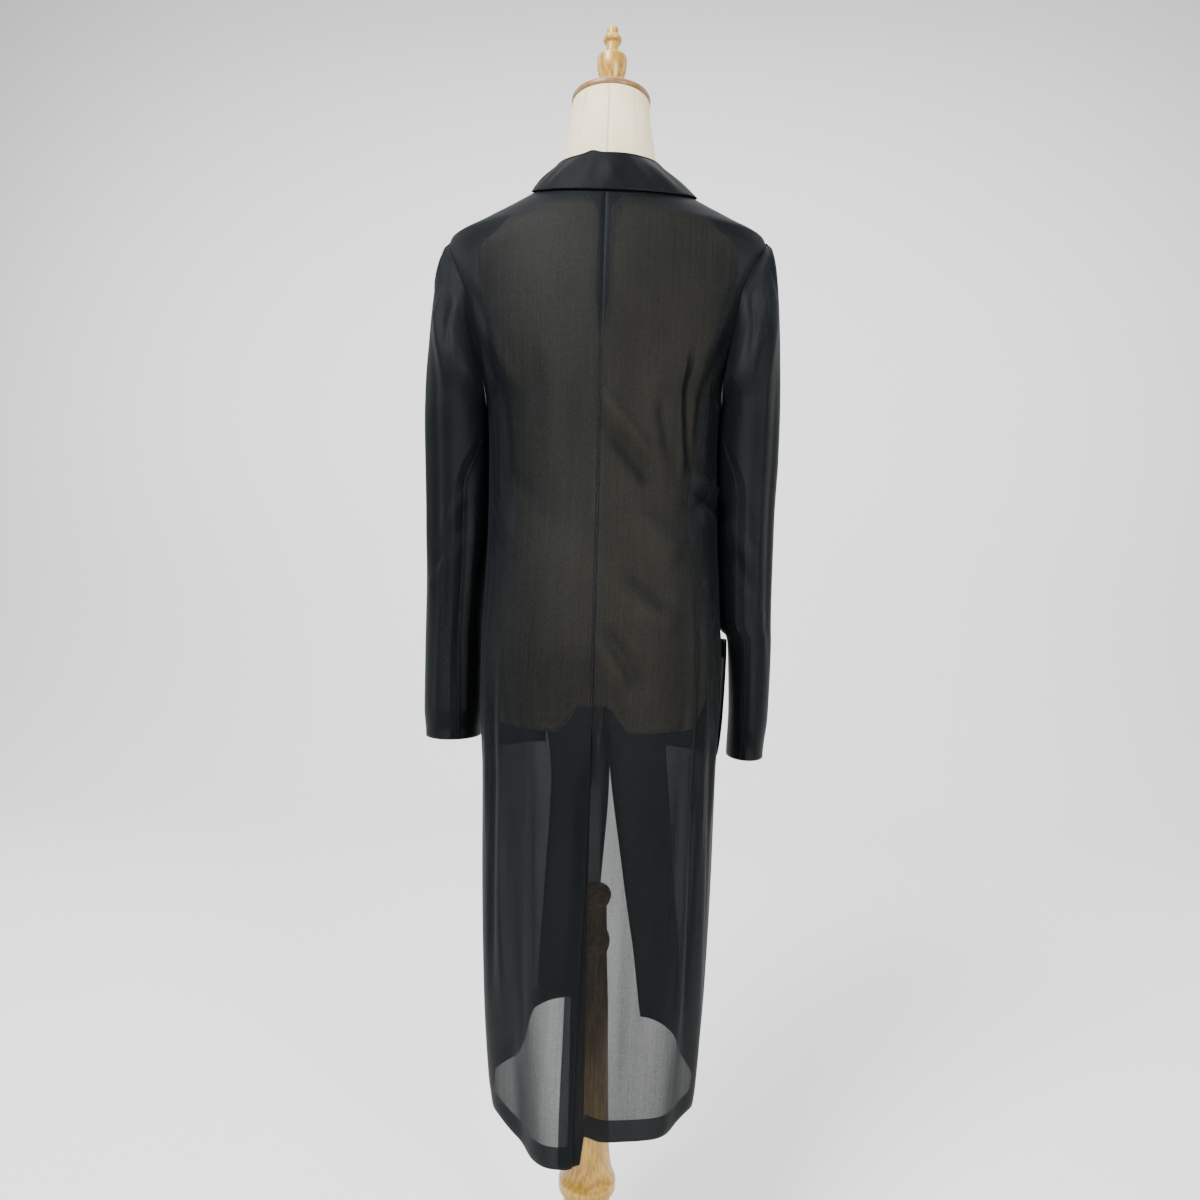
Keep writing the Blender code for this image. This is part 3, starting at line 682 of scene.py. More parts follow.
def linen_cover():
    m, tree, shader = finish(
        "undyed_linen",
        {
            "Roughness": 0.88,
            "Specular IOR Level": 0.25,
            "Sheen Weight": 0.35,
            "Sheen Roughness": 0.5,
            "Sheen Tint": (0.95, 0.92, 0.85, 1),
        },
    )
    woven = put(tree, "ShaderNodeUVMap", uv_map="woven").outputs[0]
    place = put(tree, "ShaderNodeTexCoord").outputs["Object"]
    seam = read(tree, "edge")
    weave = use(tree, "plain_weave", {"Cloth": woven, "Thread": LINEN_THREAD, "Slub": 0.8})
    cast = use(tree, "slow_cast", {"Place": place, "Size": 0.05, "Seed": 5.0}).outputs[0]
    groove = use(tree, "near_edge", {"Distance": seam, "Reach": 0.0016, "Cast": 0.5}).outputs[0]
    pressed = use(tree, "near_edge", {"Distance": seam, "Reach": 0.009, "Cast": cast}).outputs[0]

    light = sums(tree, "MULTIPLY_ADD", weave.outputs["Slubs"], 0.9, 0.75)
    light = sums(tree, "MULTIPLY_ADD", weave.outputs["Opening"], -0.35, light)
    light = sums(tree, "MULTIPLY_ADD", cast, 0.35, light)
    # Painted shade: the linen is darker inside its seam grooves.
    light = sums(tree, "MULTIPLY_ADD", groove, -0.8, light)
    toned(tree, shader, light, LINEN_DARK, LINEN_LIGHT)

    parts = put(tree, "ShaderNodeSeparateXYZ", {0: place})
    stitch = sums(tree, "SINE", sums(tree, "MULTIPLY", parts.outputs[2], 2 * math.pi / STITCH))
    row = sums(tree, "COMPARE", seam, STITCH_FROM_SEAM, 0.0005)
    thread = sums(tree, "MULTIPLY", row, sums(tree, "GREATER_THAN", stitch, -0.3))
    height = sums(tree, "MULTIPLY_ADD", weave.outputs["Height"], 0.14, sums(tree, "MULTIPLY", thread, 0.5))
    height = sums(tree, "MULTIPLY_ADD", groove, -1.6, height)
    height = sums(tree, "MULTIPLY_ADD", pressed, -0.5, height)
    raised(tree, shader, height, 0.6, 0.0006)
    return m


linen = linen_cover()

# %% [markdown]
# The finial, the cap and the post are turned from a pale close-grained wood and varnished. Turning cuts
# through the year rings, so a bead shows them as ovals and a plain length as long lines. Rings round an axis
# beside the piece's own, shaken by noise that is stretched along the wood, give both without any picture.

# %% Wood grain group
def streaks(tree, place, rates, detail):
    """Noise that is stretched along a piece."""
    stretched = put(tree, "ShaderNodeMapping", {0: place, 3: rates}).outputs[0]
    return put(tree, "ShaderNodeTexNoise", {"Vector": stretched, "Detail": detail}).outputs["Fac"]


def grain_group():
    tree, source, result = group(
        "wood_grain",
        [("Place", VECTOR, None), ("Ring", FLOAT, 0.004)],
        [("Rings", FLOAT), ("Fibre", FLOAT)],
    )
    centred = put(tree, "ShaderNodeMapping", {0: source.outputs["Place"], 1: (0.021, -0.034, 0.0)})
    shake = streaks(tree, centred.outputs[0], (60.0, 60.0, 7.0), 3.0)
    parts = put(tree, "ShaderNodeSeparateXYZ", {0: centred.outputs[0]})
    x, y = parts.outputs[0], parts.outputs[1]
    square = sums(tree, "MULTIPLY_ADD", x, x, sums(tree, "MULTIPLY", y, y))
    away = sums(tree, "MULTIPLY_ADD", shake, 0.010, sums(tree, "SQRT", square))
    turns = sums(tree, "DIVIDE", sums(tree, "MULTIPLY", away, 2 * math.pi), source.outputs["Ring"])
    rings = sums(tree, "MULTIPLY_ADD", sums(tree, "SINE", turns), 0.5, 0.5)
    fibre = streaks(tree, centred.outputs[0], (900.0, 900.0, 30.0), 2.0)
    tree.links.new(rings, result.inputs["Rings"])
    tree.links.new(fibre, result.inputs["Fibre"])
    return tree


grain_group()

# %% Varnished wood
def varnished(name, light_tone, dark_tone, rough, coat_roughness):
    values = {"Specular IOR Level": 0.45, "Coat Roughness": coat_roughness, "Coat IOR": 1.5}
    m, tree, shader = finish(name, values)
    place = put(tree, "ShaderNodeTexCoord").outputs["Object"]
    edge = read(tree, "edge")
    grain = use(tree, "wood_grain", {"Place": place, "Ring": 0.0045})
    cast = use(tree, "slow_cast", {"Place": place, "Size": 0.03, "Seed": 1.0}).outputs[0]
    edge_nearness = use(tree, "near_edge", {"Distance": edge, "Reach": 0.0035, "Cast": cast}).outputs[0]
    fibre = grain.outputs["Fibre"]
    dark = sums(tree, "MULTIPLY_ADD", grain.outputs["Rings"], 0.45, sums(tree, "MULTIPLY", fibre, 0.5))
    dark = sums(tree, "MULTIPLY_ADD", cast, 0.15, dark)
    toned(tree, shader, sums(tree, "MULTIPLY_ADD", edge_nearness, -0.35, dark), light_tone, dark_tone)
    tree.links.new(sums(tree, "MULTIPLY_ADD", fibre, 0.16, rough), shader.inputs["Roughness"])
    tree.links.new(sums(tree, "MULTIPLY_ADD", edge_nearness, -0.15, 0.3), shader.inputs["Coat Weight"])
    raised(tree, shader, fibre, 0.2, 0.0002)
    return m


honey_wood = varnished("honey_wood", (0.60, 0.34, 0.030, 1), (0.17, 0.070, 0.005, 1), 0.30, 0.14)
cap_wood = varnished("cap_wood", (0.26, 0.125, 0.03, 1), (0.10, 0.040, 0.008, 1), 0.38, 0.2)

# %% Drawn steel
STEEL_DARK = (0.46, 0.46, 0.45, 1)
STEEL_LIGHT = (0.74, 0.74, 0.73, 1)


def drawn_steel():
    m, tree, shader = finish("drawn_steel", {"Metallic": 1.0})
    place = put(tree, "ShaderNodeTexCoord").outputs["Object"]
    lines = streaks(tree, place, (1500.0, 1500.0, 12.0), 2.0)
    cast = use(tree, "slow_cast", {"Place": place, "Size": 0.02, "Seed": 9.0}).outputs[0]
    toned(tree, shader, sums(tree, "MULTIPLY_ADD", cast, 0.2, lines), STEEL_DARK, STEEL_LIGHT)
    tree.links.new(sums(tree, "MULTIPLY_ADD", lines, 0.15, 0.16), shader.inputs["Roughness"])
    return m


steel = drawn_steel()
print("finishes:", sorted(m.name for m in (cloth, linen, honey_wood, cap_wood, steel)))

# %% [markdown]
# Every panel's outline comes from a few more tables: the armhole, the hem, which at the back drops lower on
# the left, and the open front edges. A piece is then a matter of saying, for a share across and a share up,
# which angle and which height of the coat it lies on.

# %% The panels' outlines
# The armhole's edge: height, angle from the centre back, angle from the centre front
ARMHOLE = (
    (1.200, 89.0, 89.0),
    (1.212, 76.0, 75.0),
    (1.235, 67.0, 64.0),
    (1.280, 61.0, 57.0),
    (1.330, 61.0, 57.0),
    (1.365, 66.0, 62.0),
    (1.390, 73.0, 70.0),
    (1.408, 81.0, 80.0),
    (1.418, 89.0, 89.0),
)

# Angle from the centre back, the hem's height on the left and on the right
HEM = (
    (0.0, 0.290, 0.324),
    (10.0, 0.284, 0.318),
    (28.0, 0.284, 0.312),
    (45.0, 0.294, 0.312),
    (62.0, 0.312, 0.326),
    (90.0, 0.316, 0.320),
    (116.0, 0.316, 0.334),
    (128.0, 0.330, 0.346),
    (140.0, 0.364, 0.350),
    (180.0, 0.370, 0.345),
)

# Height, distance of the left front edge from the centre, and of the right one
FRONT_EDGE = (
    (0.280, 0.018, 0.070),
    (0.400, 0.010, 0.058),
    (0.550, -0.004, 0.036),
    (0.700, -0.0125, 0.014),
    (0.800, -0.003, 0.004),
    (1.160, 0.003, 0.003),
    (1.250, 0.022, 0.022),
    (1.350, 0.047, 0.047),
    (1.440, 0.068, 0.068),
    (1.490, 0.076, 0.076),
)

# Angle from the centre back, the height of the collar's seam, of its fold, of its lower edge
COLLAR = (
    (0.0, 1.4570, 1.498, 1.4490),
    (30.0, 1.4610, 1.500, 1.4520),
    (60.0, 1.4730, 1.505, 1.4620),
    (90.0, 1.4850, 1.508, 1.4740),
    (115.0, 1.4770, 1.500, 1.4640),
    (135.0, 1.4640, 1.482, 1.4500),
    (146.0, 1.4560, 1.471, 1.4460),
)

# The share of the rows at which a panel reaches each height between the underarm and the shoulder
YOKE = (
    (0.640, 1.200),
    (0.670, 1.212),
    (0.700, 1.235),
    (0.740, 1.280),
    (0.820, 1.390),
    (0.860, 1.418),
)
SEAM = 0.0005
SETTLE = 8
PANEL_ROWS = 176


def hem_height(degrees):
    return np.where(degrees < 0, smooth(HEM, 1, abs(degrees)), smooth(HEM, 2, abs(degrees)))


def neck_height(degrees):
    return smooth(COLLAR, 1, abs(degrees)) - 0.0004


def arm_angle(z, column):
    """The angle of a panel's side: the armhole between the underarm and the shoulder, else the side seam."""
    return np.where((z >= UNDERARM) & (z <= SHOULDER), smooth(ARMHOLE, column, z), 90.0)


def side_gap(z):
    """How far a panel stops short of its side seam, and of the armhole, which the sleeve closes up to."""
    return np.where((z > UNDERARM) & (z < SHOULDER), 0.0, SEAM)


def row_height(share, hem, top):
    """A panel's rows share out the skirt, the armhole and the shoulder."""
    first, last = YOKE[0][0], YOKE[-1][0]
    z = np.interp(share, [row[0] for row in YOKE], [row[1] for row in YOKE])
    z = np.where(share < first, hem + (UNDERARM - hem) * share / first, z)
    return np.where(share > last, SHOULDER + (top - SHOULDER) * (share - last) / (1 - last), z)


print("rows:", PANEL_ROWS, "hem from", HEM[0][1], "to", HEM[-1][1])

# %% Handing a piece over
made = []


def hand_over(piece, node, finish_of, flat=None, area=None):
    piece.data.materials.append(finish_of)
    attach(piece, "root")
    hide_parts(node)
    if flat:
        bm = bmesh.new()
        bm.from_mesh(piece.data)
        print(piece.name, "area", round(sum(f.calc_area() for f in bm.faces), 4), "cut", flat, area)
        bm.free()
    made.append(piece)
    return piece


def cloth_piece(kind, side, across, along, place, flat, area=None, plies=1.0):
    """One side's panel of cloth, made and handed over."""
    word = "_left" if side < 0 else "_right"
    piece = panel("cloth_" + kind + word, across, along, place, plies, side < 0)
    return hand_over(piece, kind + word, cloth, flat, area)


# %% [markdown]
# The back is two panels joined by a long centre seam. At the collar its allowances are wide and make a small
# dark wedge, and they narrow to a thin line towards the waist. Below the hips the seam opens into a vent: the
# left panel lies over, and the right one runs on under it. The two backs are one function, mirrored, with the
# vent's lap as their only real difference.

# %% Backs
VENT_TOP = 0.775
VENT_LAP = 0.018
VENT_SWING = 0.012
VENT_DEPTH = 0.0042
VENT_CLEAR = 8.0
VENT_EASE = 0.05
TURNED = 0.0005
SIDES = (-1, 1)


def back_edge(side, z):
    """How far a back's centre edge lies to its own side, below zero where it laps past the centre."""
    if side < 0:
        return SEAM + np.where(z < VENT_TOP, VENT_SWING * ramp(VENT_TOP, FOLD_FOOT, z), 0)
    return SEAM - np.where(z < VENT_TOP, (VENT_LAP + SEAM) * ramp(VENT_TOP, VENT_TOP - VENT_EASE, z), 0)


def centre_turn(z):
    """The centre allowance: a wedge at the collar, then a band, a thin line, and wider beside the vent."""
    width = 0.0018 + 0.0052 * ramp(1.26, 1.32, z) + 0.0130 * ramp(1.424, 1.446, z)
    return width + 0.016 * ramp(VENT_TOP + 0.02, VENT_TOP - 0.05, z)


def back(side):
    def place(u, du, v, dv, deep):
        z = row_height(v, HEM[0][1], COLLAR[0][1])
        wide = np.where((u < 0.5) & (abs(du) > TURNED), 1.0, 0.0)
        for _ in range(SETTLE):
            shift = du * (1 - wide) + wide * du / SEAM_TURN * centre_turn(z)
            edge = arm_angle(z, 1) - turn_of(side_gap(z), 90.0, z)
            centre = np.degrees(np.arcsin(back_edge(side, z) / smooth(COAT, 2, z)))
            degrees = centre + (edge - centre) * u
            degrees = degrees + turn_of(shift, degrees, z)
            z = row_height(v, hem_height(side * degrees), neck_height(degrees)) + dv
        near = 1 - ramp(0.0, VENT_CLEAR, degrees)
        below = 1 - ramp(VENT_TOP - 0.01, VENT_TOP + 0.01 + VENT_EASE, z)
        under = VENT_DEPTH * 0.6 * near * below if side > 0 else 0
        return on_coat(side * degrees, z, -deep - under)

    across = stations(58, SEAM_TURN, SEAM_TURN)
    along = stations(PANEL_ROWS, HEM_TURN, NECK_TURN)
    return cloth_piece("back", side, across, along, place, (0.280, 1.235), 0.293)


for side in SIDES:
    back(side)

# %% [markdown]
# The fronts hang open below the waist, and each open edge is lined with a facing, the long strip that shows
# through the back as a dark tapering band. Above the waist the edge rolls back into the lapel, which is the
# outer face of the same turn. Facing and lapel are panels of their own, laid a few millimetres in or out.

# %% Fronts
FRONT_TURN = 0.007


def front_angle(side, z):
    """The angle of a front's open edge."""
    x = smooth(FRONT_EDGE, 1 if side < 0 else 2, z)
    half = smooth(COAT, 1 if side < 0 else 2, z)
    return 180 - np.degrees(np.arcsin(np.minimum(x / half, 1)))


def front(side):
    def place(u, du, v, dv, deep):
        z = row_height(v, HEM[-1][1], COLLAR[-1][1])
        for _ in range(SETTLE):
            edge = 180 - arm_angle(z, 2) + turn_of(side_gap(z), 90.0, z)
            degrees = edge + (front_angle(side, z) - edge) * u
            degrees = degrees + turn_of(du, degrees, z)
            z = row_height(v, hem_height(side * degrees), neck_height(degrees)) + dv
        return on_coat(side * degrees, z, -deep)

    across = stations(56, SEAM_TURN, FRONT_TURN)
    along = stations(PANEL_ROWS, HEM_TURN, NECK_TURN)
    return cloth_piece("front", side, across, along, place, (0.250, 1.190), 0.258)


for side in SIDES:
    front(side)

# %% Facings
LAPEL_BREAK = 1.160
FACING_WIDTH = 0.075
FACING_UNDER = 0.0024
FACING_ABOVE_HEM = 0.006
FACING_INSET = 0.3
FACING_TURN = 0.005


def facing(side):
    def place(u, du, v, dv, deep):
        low = hem_height(180.0 * side) + FACING_ABOVE_HEM
        z = low + (LAPEL_BREAK - low) * v + dv
        edge = front_angle(side, z)
        wide = np.degrees(FACING_WIDTH / smooth(COAT, 4, z))
        degrees = edge - wide * (1 - u) - FACING_INSET
        degrees = degrees + turn_of(du, degrees, z)
        return on_coat(side * degrees, z, -FACING_UNDER + deep)

    across, along = stations(20, FACING_TURN), stations(100)
    return cloth_piece("facing", side, across, along, place, (0.094, 0.800), None)


for side in SIDES:
    facing(side)

# %% Lapels
LAPEL_TOP = 1.410
LAPEL_START = 0.012
LAPEL_FOOT = 0.006
LAPEL_POINT = 0.010
LAPEL_WIDTH = 0.078
LAPEL_OUT = 0.0026
LAPEL_INSET = 0.2
LAPEL_PLIES = 1.6


def lapel(side):
    def place(u, du, v, dv, deep):
        low = LAPEL_BREAK + LAPEL_START
        z = low + (LAPEL_TOP - low) * v + dv
        edge = front_angle(side, z)
        width = LAPEL_FOOT + (LAPEL_WIDTH - LAPEL_FOOT) * ramp(-0.15, 1.1, v)
        wide = np.degrees(width / np.sqrt(smooth(COAT, 2, z) * smooth(COAT, 4, z)))
        degrees = edge - wide * (1 - u) - LAPEL_INSET
        degrees = degrees + turn_of(du, degrees, z)
        roll = np.where(u > 0.5, LAPEL_OUT / PLY, 1.0)
        return on_coat(side * degrees, z + LAPEL_POINT * (1 - u) * v, LAPEL_OUT - deep * roll)

    across = stations(28, 0.006, 0.003)
    along = stations(70, 0.0, 0.006)
    return cloth_piece("lapel", side, across, along, place, (0.110, 0.280), 0.0170, LAPEL_PLIES)


for side in SIDES:
    lapel(side)

# %% [markdown]
# A patch pocket is a square of cloth with its edges pressed in, sewn down on three sides. Only the mouth is
# free, and on the right its corner stands away from the hip, where it shows past the coat's outline.

# %% Pockets
POCKET_BOTTOM = 0.745
POCKET_TOP = 0.900
POCKET_FROM = 98
POCKET_ROUND = 50
POCKET_OUT = 0.0022
POCKET_GAPE = {-1: 0.003, 1: 0.0145}
POCKET_TURN = 0.007
MOUTH_TURN = 0.024


def pocket(side):
    def place(u, du, v, dv, deep):
        z = POCKET_BOTTOM + (POCKET_TOP - POCKET_BOTTOM) * v + dv
        degrees = POCKET_FROM + POCKET_ROUND * u
        degrees = degrees + turn_of(du, degrees, z)
        gape = POCKET_GAPE[side] * v**0.35 * (0.6 + 0.4 * ramp(0, 0.15, u)) * (1 - ramp(0.25, 1, u))
        return on_coat(side * degrees, z, POCKET_OUT + gape - deep)

    across = stations(34, POCKET_TURN, POCKET_TURN)
    along = stations(36, POCKET_TURN, MOUTH_TURN)
    return cloth_piece("pocket", side, across, along, place, (0.142, 0.188), None)


for side in SIDES:
    pocket(side)

# %% [markdown]
# A tailored sleeve has two pieces. The outer one runs from the cuff to the head of the armhole, where some
# extra length is eased in and makes soft dimples. The inner, narrower one stops under the arm. An empty
# sleeve hangs flat and a little forward, with long folds where there is no arm to fill it. A dark room stood
# behind the sleeves that we copy, and a denser cloth stands in for it here against the pale wall.

# %% The sleeves' sections
# Height, inner side, outer side, centre forward of the axis, half depth
SLEEVE = {
    -1: (
        (0.762, 0.1620, 0.2355, 0.040, 0.050),
        (0.800, 0.1590, 0.2380, 0.038, 0.053),
        (0.880, 0.1590, 0.2375, 0.035, 0.056),
        (0.960, 0.1545, 0.2360, 0.030, 0.060),
        (1.060, 0.1490, 0.2350, 0.022, 0.065),
        (1.140, 0.1501, 0.2350, 0.012, 0.070),
        (1.200, 0.1541, 0.2335, 0.004, 0.074),
        (1.280, 0.1700, 0.2300, 0.002, 0.074),
        (1.340, 0.1860, 0.2245, 0.001, 0.064),
        (1.380, 0.1950, 0.2200, 0.000, 0.050),
        (1.405, 0.2020, 0.2145, 0.000, 0.032),
        (1.418, 0.2070, 0.2095, 0.000, 0.012),
    ),
    1: (
        (0.745, 0.1735, 0.2220, 0.045, 0.046),
        (0.800, 0.1750, 0.2270, 0.042, 0.050),
        (0.880, 0.1725, 0.2285, 0.037, 0.055),
        (0.904, 0.1700, 0.2280, 0.034, 0.057),
        (0.918, 0.1575, 0.2275, 0.033, 0.058),
        (0.960, 0.1540, 0.2270, 0.031, 0.060),
        (1.060, 0.1500, 0.2270, 0.022, 0.065),
        (1.140, 0.1490, 0.2290, 0.012, 0.070),
        (1.200, 0.1521, 0.2285, 0.004, 0.074),
        (1.280, 0.1640, 0.2260, 0.002, 0.074),
        (1.340, 0.1790, 0.2225, 0.001, 0.064),
        (1.380, 0.1880, 0.2185, 0.000, 0.050),
        (1.405, 0.1980, 0.2130, 0.000, 0.032),
        (1.418, 0.2030, 0.2065, 0.000, 0.012),
    ),
}

# From a share of the way round and a height to another: then half width and how far it stands out, in metres
SLEEVE_CREASES = {
    -1: (
        (0.24, 1.340, 0.27, 0.980, 0.0070, 0.0032),
        (0.31, 1.310, 0.33, 0.900, 0.0080, -0.0030),
        (0.40, 1.300, 0.41, 0.960, 0.0080, 0.0024),
        (0.17, 1.160, 0.20, 0.800, 0.0070, -0.0028),
        (0.28, 0.960, 0.30, 0.780, 0.0060, 0.0026),
        (0.14, 1.090, 0.30, 1.040, 0.0080, 0.0026),
        (0.16, 1.050, 0.34, 0.990, 0.0090, -0.0026),
        (0.22, 1.010, 0.40, 0.950, 0.0080, 0.0020),
        (0.12, 1.370, 0.26, 1.290, 0.0060, 0.0024),
        (0.10, 1.340, 0.20, 1.250, 0.0060, -0.0024),
        (0.20, 1.400, 0.34, 1.340, 0.0050, 0.0018),
        (0.60, 1.300, 0.62, 0.860, 0.0090, -0.0030),
        (0.74, 1.120, 0.58, 1.050, 0.0090, 0.0032),
        (0.78, 1.070, 0.60, 1.010, 0.0080, -0.0028),
        (0.72, 0.980, 0.70, 0.790, 0.0080, 0.0028),
    ),
    1: (
        (0.22, 1.330, 0.25, 1.000, 0.0070, -0.0030),
        (0.29, 1.340, 0.30, 0.920, 0.0080, 0.0032),
        (0.37, 1.290, 0.38, 0.840, 0.0080, -0.0024),
        (0.16, 1.130, 0.19, 0.830, 0.0060, 0.0026),
        (0.12, 1.060, 0.26, 1.000, 0.0080, 0.0030),
        (0.14, 1.020, 0.30, 0.950, 0.0080, -0.0028),
        (0.20, 0.980, 0.36, 0.920, 0.0080, 0.0022),
        (0.10, 1.385, 0.20, 1.300, 0.0050, 0.0030),
        (0.08, 1.350, 0.17, 1.240, 0.0055, -0.0030),
        (0.16, 1.400, 0.30, 1.330, 0.0055, -0.0020),
        (0.62, 1.290, 0.60, 0.880, 0.0090, 0.0030),
        (0.76, 1.110, 0.60, 1.060, 0.0090, -0.0030),
        (0.74, 1.060, 0.58, 0.990, 0.0080, 0.0030),
        (0.70, 0.960, 0.72, 0.780, 0.0080, -0.0026),
    ),
}
SLEEVE_ROUND = 0.27
SLEEVE_OPEN = 100
SLEEVE_REACH = 0.30
SLEEVE_EASE = 0.03
SLEEVE_PLIES = 1.3
UNDER_SHARE = 0.19
UNDER_POINT = 0.03


def sleeve_out(side, share, z):
    """How far the creases push a sleeve out, fading where it lies against the coat."""
    out = np.zeros(np.broadcast(share, z).shape)
    for a, za, b, zb, half, height in SLEEVE_CREASES[side]:
        ends = (a * SLEEVE_ROUND, za), (b * SLEEVE_ROUND, zb)
        out = out + line_out(share * SLEEVE_ROUND, z, *ends, half, height)
    return out * ramp(0.02, 0.10, share) * (1 - ramp(0.90, 0.98, share))


def sleeve(side, share, z):
    """Points round a sleeve, from its inner side round the back and the outside to the front and in again."""
    table = SLEEVE[side]
    inner, outer = smooth(table, 1, z), smooth(table, 2, z)
    forward, deep = smooth(table, 3, z), smooth(table, 4, z)
    middle, half = (inner + outer) / 2, (outer - inner) / 2
    opened = SLEEVE_OPEN * ramp(UNDERARM, SHOULDER - 0.04, z)
    a = np.radians(opened + (360 - 2 * opened) * share)
    nx, ny = -np.cos(a) / half, -np.sin(a) / deep
    push = sleeve_out(side, share, z) / np.hypot(nx, ny)
    z = z + 0 * a
    x, y = side * (middle - half * np.cos(a) + nx * push), forward - deep * np.sin(a) + ny * push
    points = np.stack([x, y, z], axis=-1)
    above = ramp(UNDERARM, UNDERARM + SLEEVE_EASE, z)
    for column, along in ((1, share), (2, 1 - share)):
        first = np.radians(opened if column == 1 else 360 - opened)
        own = np.stack([side * (middle - half * np.cos(first)), forward - deep * np.sin(first), z], axis=-1)
        angle = arm_angle(z, column)
        goal = coat(side * (angle if column == 1 else 180 - angle), z)
        points = points + (goal - own) * ((1 - ramp(0, SLEEVE_REACH, along)) * above)[..., None]
    return points


def on_sleeve(side, share, z, out):
    return lifted(lambda s, h: sleeve(side, s, h), share, z, np.asarray(out) * side, 0.004, 0.002)


def seam_share(z):
    """Where the sleeve's back seam runs, as a share of the way round."""
    above = UNDER_POINT * (1 - ramp(UNDERARM, UNDERARM + SLEEVE_EASE, z))
    below = UNDER_POINT + (UNDER_SHARE - UNDER_POINT) * ramp(UNDERARM, UNDERARM - 0.12, z)
    return np.where(z >= UNDERARM, above, below)


print("sleeve creases, left and right:", [len(SLEEVE_CREASES[side]) for side in SIDES])

# %% Outer sleeves
# The share of the rows at which the outer sleeve reaches each height above the underarm
SLEEVE_ROWS = (
    (0.600, 1.200),
    (0.640, 1.212),
    (0.680, 1.235),
    (0.740, 1.280),
    (0.870, 1.390),
    (0.950, 1.4165),
)


TIP_RISE = 0.0004
TIP_CLOSING = 0.98


def top_sleeve(side):
    cuff = SLEEVE[side][0][0]
    first, last = SLEEVE_ROWS[0][0], SLEEVE_ROWS[-1][0]

    def place(u, du, v, dv, deep):
        z = np.interp(v, [row[0] for row in SLEEVE_ROWS], [row[1] for row in SLEEVE_ROWS])
        z = np.where(v < first, cuff + (UNDERARM - cuff) * v / first, z) + dv
        edge = seam_share(z)
        share = edge + (1 - 2 * edge) * u + du / SLEEVE_ROUND
        points = on_sleeve(side, share, z, -deep)
        tip = coat(np.array(90.0 * side), np.array(SHOULDER)) + np.array([0, 0, TIP_RISE])
        closing = TIP_CLOSING * np.clip((v - last) / (1 - last), 0, 1)[..., None]
        return points + (tip - points) * closing

    across = stations(92, 0.010, 0.010)
    along = stations(140, HEM_TURN)
    size = (0.350, 0.730)
    return cloth_piece("top_sleeve", side, across, along, place, size, 0.158, SLEEVE_PLIES)


for side in SIDES:
    top_sleeve(side)

# %% Inner sleeves
UNDER_GAP = 0.0022


def under_sleeve(side):
    cuff = SLEEVE[side][0][0]

    def place(u, du, v, dv, deep):
        z = cuff + (UNDERARM - SEAM - cuff) * v + dv
        half = seam_share(z) - UNDER_GAP
        return on_sleeve(side, half * (2 * u - 1) + du / SLEEVE_ROUND, z, -deep)

    across = stations(30, 0.006, 0.006)
    along = stations(90, HEM_TURN)
    size = (0.150, 0.495)
    return cloth_piece("under_sleeve", side, across, along, place, size, 0.060, SLEEVE_PLIES)


for side in SIDES:
    under_sleeve(side)

# %% [markdown]
# The collar is two plies with a stiffening between, so it is the one part of the coat that hardly any light
# comes through. Its stand rises from the neck seam, it folds over in a tight round, and the fall lies on the
# shoulders. It is made as one strip that runs up, over and down, which gives the fold its real thickness.

# %% Collar
FOLD_RING = (0.0685, 0.0775, 0.0640)
COLLAR_OUT = 0.0030
FOLD_RADIUS = 0.0028
COLLAR_BULGE = 0.0015
COLLAR_TILT = 0.005
FOLD_PEAK = (-14.0, 7.0, 0.003)
STAND_SHARE = 0.4
FALL_SHARE = 0.6
COLLAR_LEAVES = (88, 138)
COLLAR_INSIDE = 0.965
COLLAR_ROUND = 0.42
COLLAR_DEPTH = 0.12
COLLAR_PLIES = 2.4
COLLAR_TURN = 0.006


def fold_line(degrees, z):
    """The collar's fold line, which leaves the neck for the lapel's roll at the front."""
    a = np.radians(degrees)
    half, behind, before = FOLD_RING
    deep = np.where(abs(degrees) < 90, behind, before)
    near = np.stack([half * np.sin(a), -deep * np.cos(a), z], axis=-1)
    out = coat(degrees, smooth(COLLAR, 1, abs(degrees)))
    out = np.stack([out[..., 0] * COLLAR_INSIDE, out[..., 1] * COLLAR_INSIDE, z], axis=-1)
    return near + (out - near) * ramp(*COLLAR_LEAVES, abs(degrees))[..., None]


def collar_surface(u, v):
    """Points of the collar at a share round it and a share of the way up, over and down."""
    degrees = COLLAR[-1][0] * (2 * u - 1)
    a = np.radians(degrees)
    seam, top, low = (smooth(COLLAR, c, abs(degrees)) for c in (1, 2, 3))
    low = low - COLLAR_TILT * np.sin(a)
    top = top + FOLD_PEAK[2] * np.exp(-(((degrees - FOLD_PEAK[0]) / FOLD_PEAK[1]) ** 2))
    foot = coat(degrees, seam)
    edge = on_coat(degrees, low, COLLAR_OUT)
    away = np.stack([np.sin(a), -np.cos(a), 0 * a], axis=-1)
    up = np.array([0, 0, FOLD_RADIUS])
    inner = fold_line(degrees, top) - up
    outer = inner + away * 2 * FOLD_RADIUS
    rise = np.clip(v / STAND_SHARE, 0, 1)[..., None]
    turn = math.pi * np.clip((v - STAND_SHARE) / (FALL_SHARE - STAND_SHARE), 0, 1)[..., None]
    fall = ((v - FALL_SHARE) / (1 - FALL_SHARE))[..., None]
    round_over = (inner + outer) / 2 - away * FOLD_RADIUS * np.cos(turn) + up * np.sin(turn)
    ripple = 0.0012 * np.sin(0.19 * degrees + 1.0) + 0.0009 * np.sin(0.37 * degrees)
    bulge = away * (COLLAR_BULGE + ripple[..., None]) * np.sin(math.pi * np.clip(fall, 0, 1))
    hanging = outer + (edge - outer) * fall + bulge
    stand = foot + (inner - foot) * rise
    v = v[..., None]
    return np.where(v < STAND_SHARE, stand, np.where(v < FALL_SHARE, round_over, hanging))


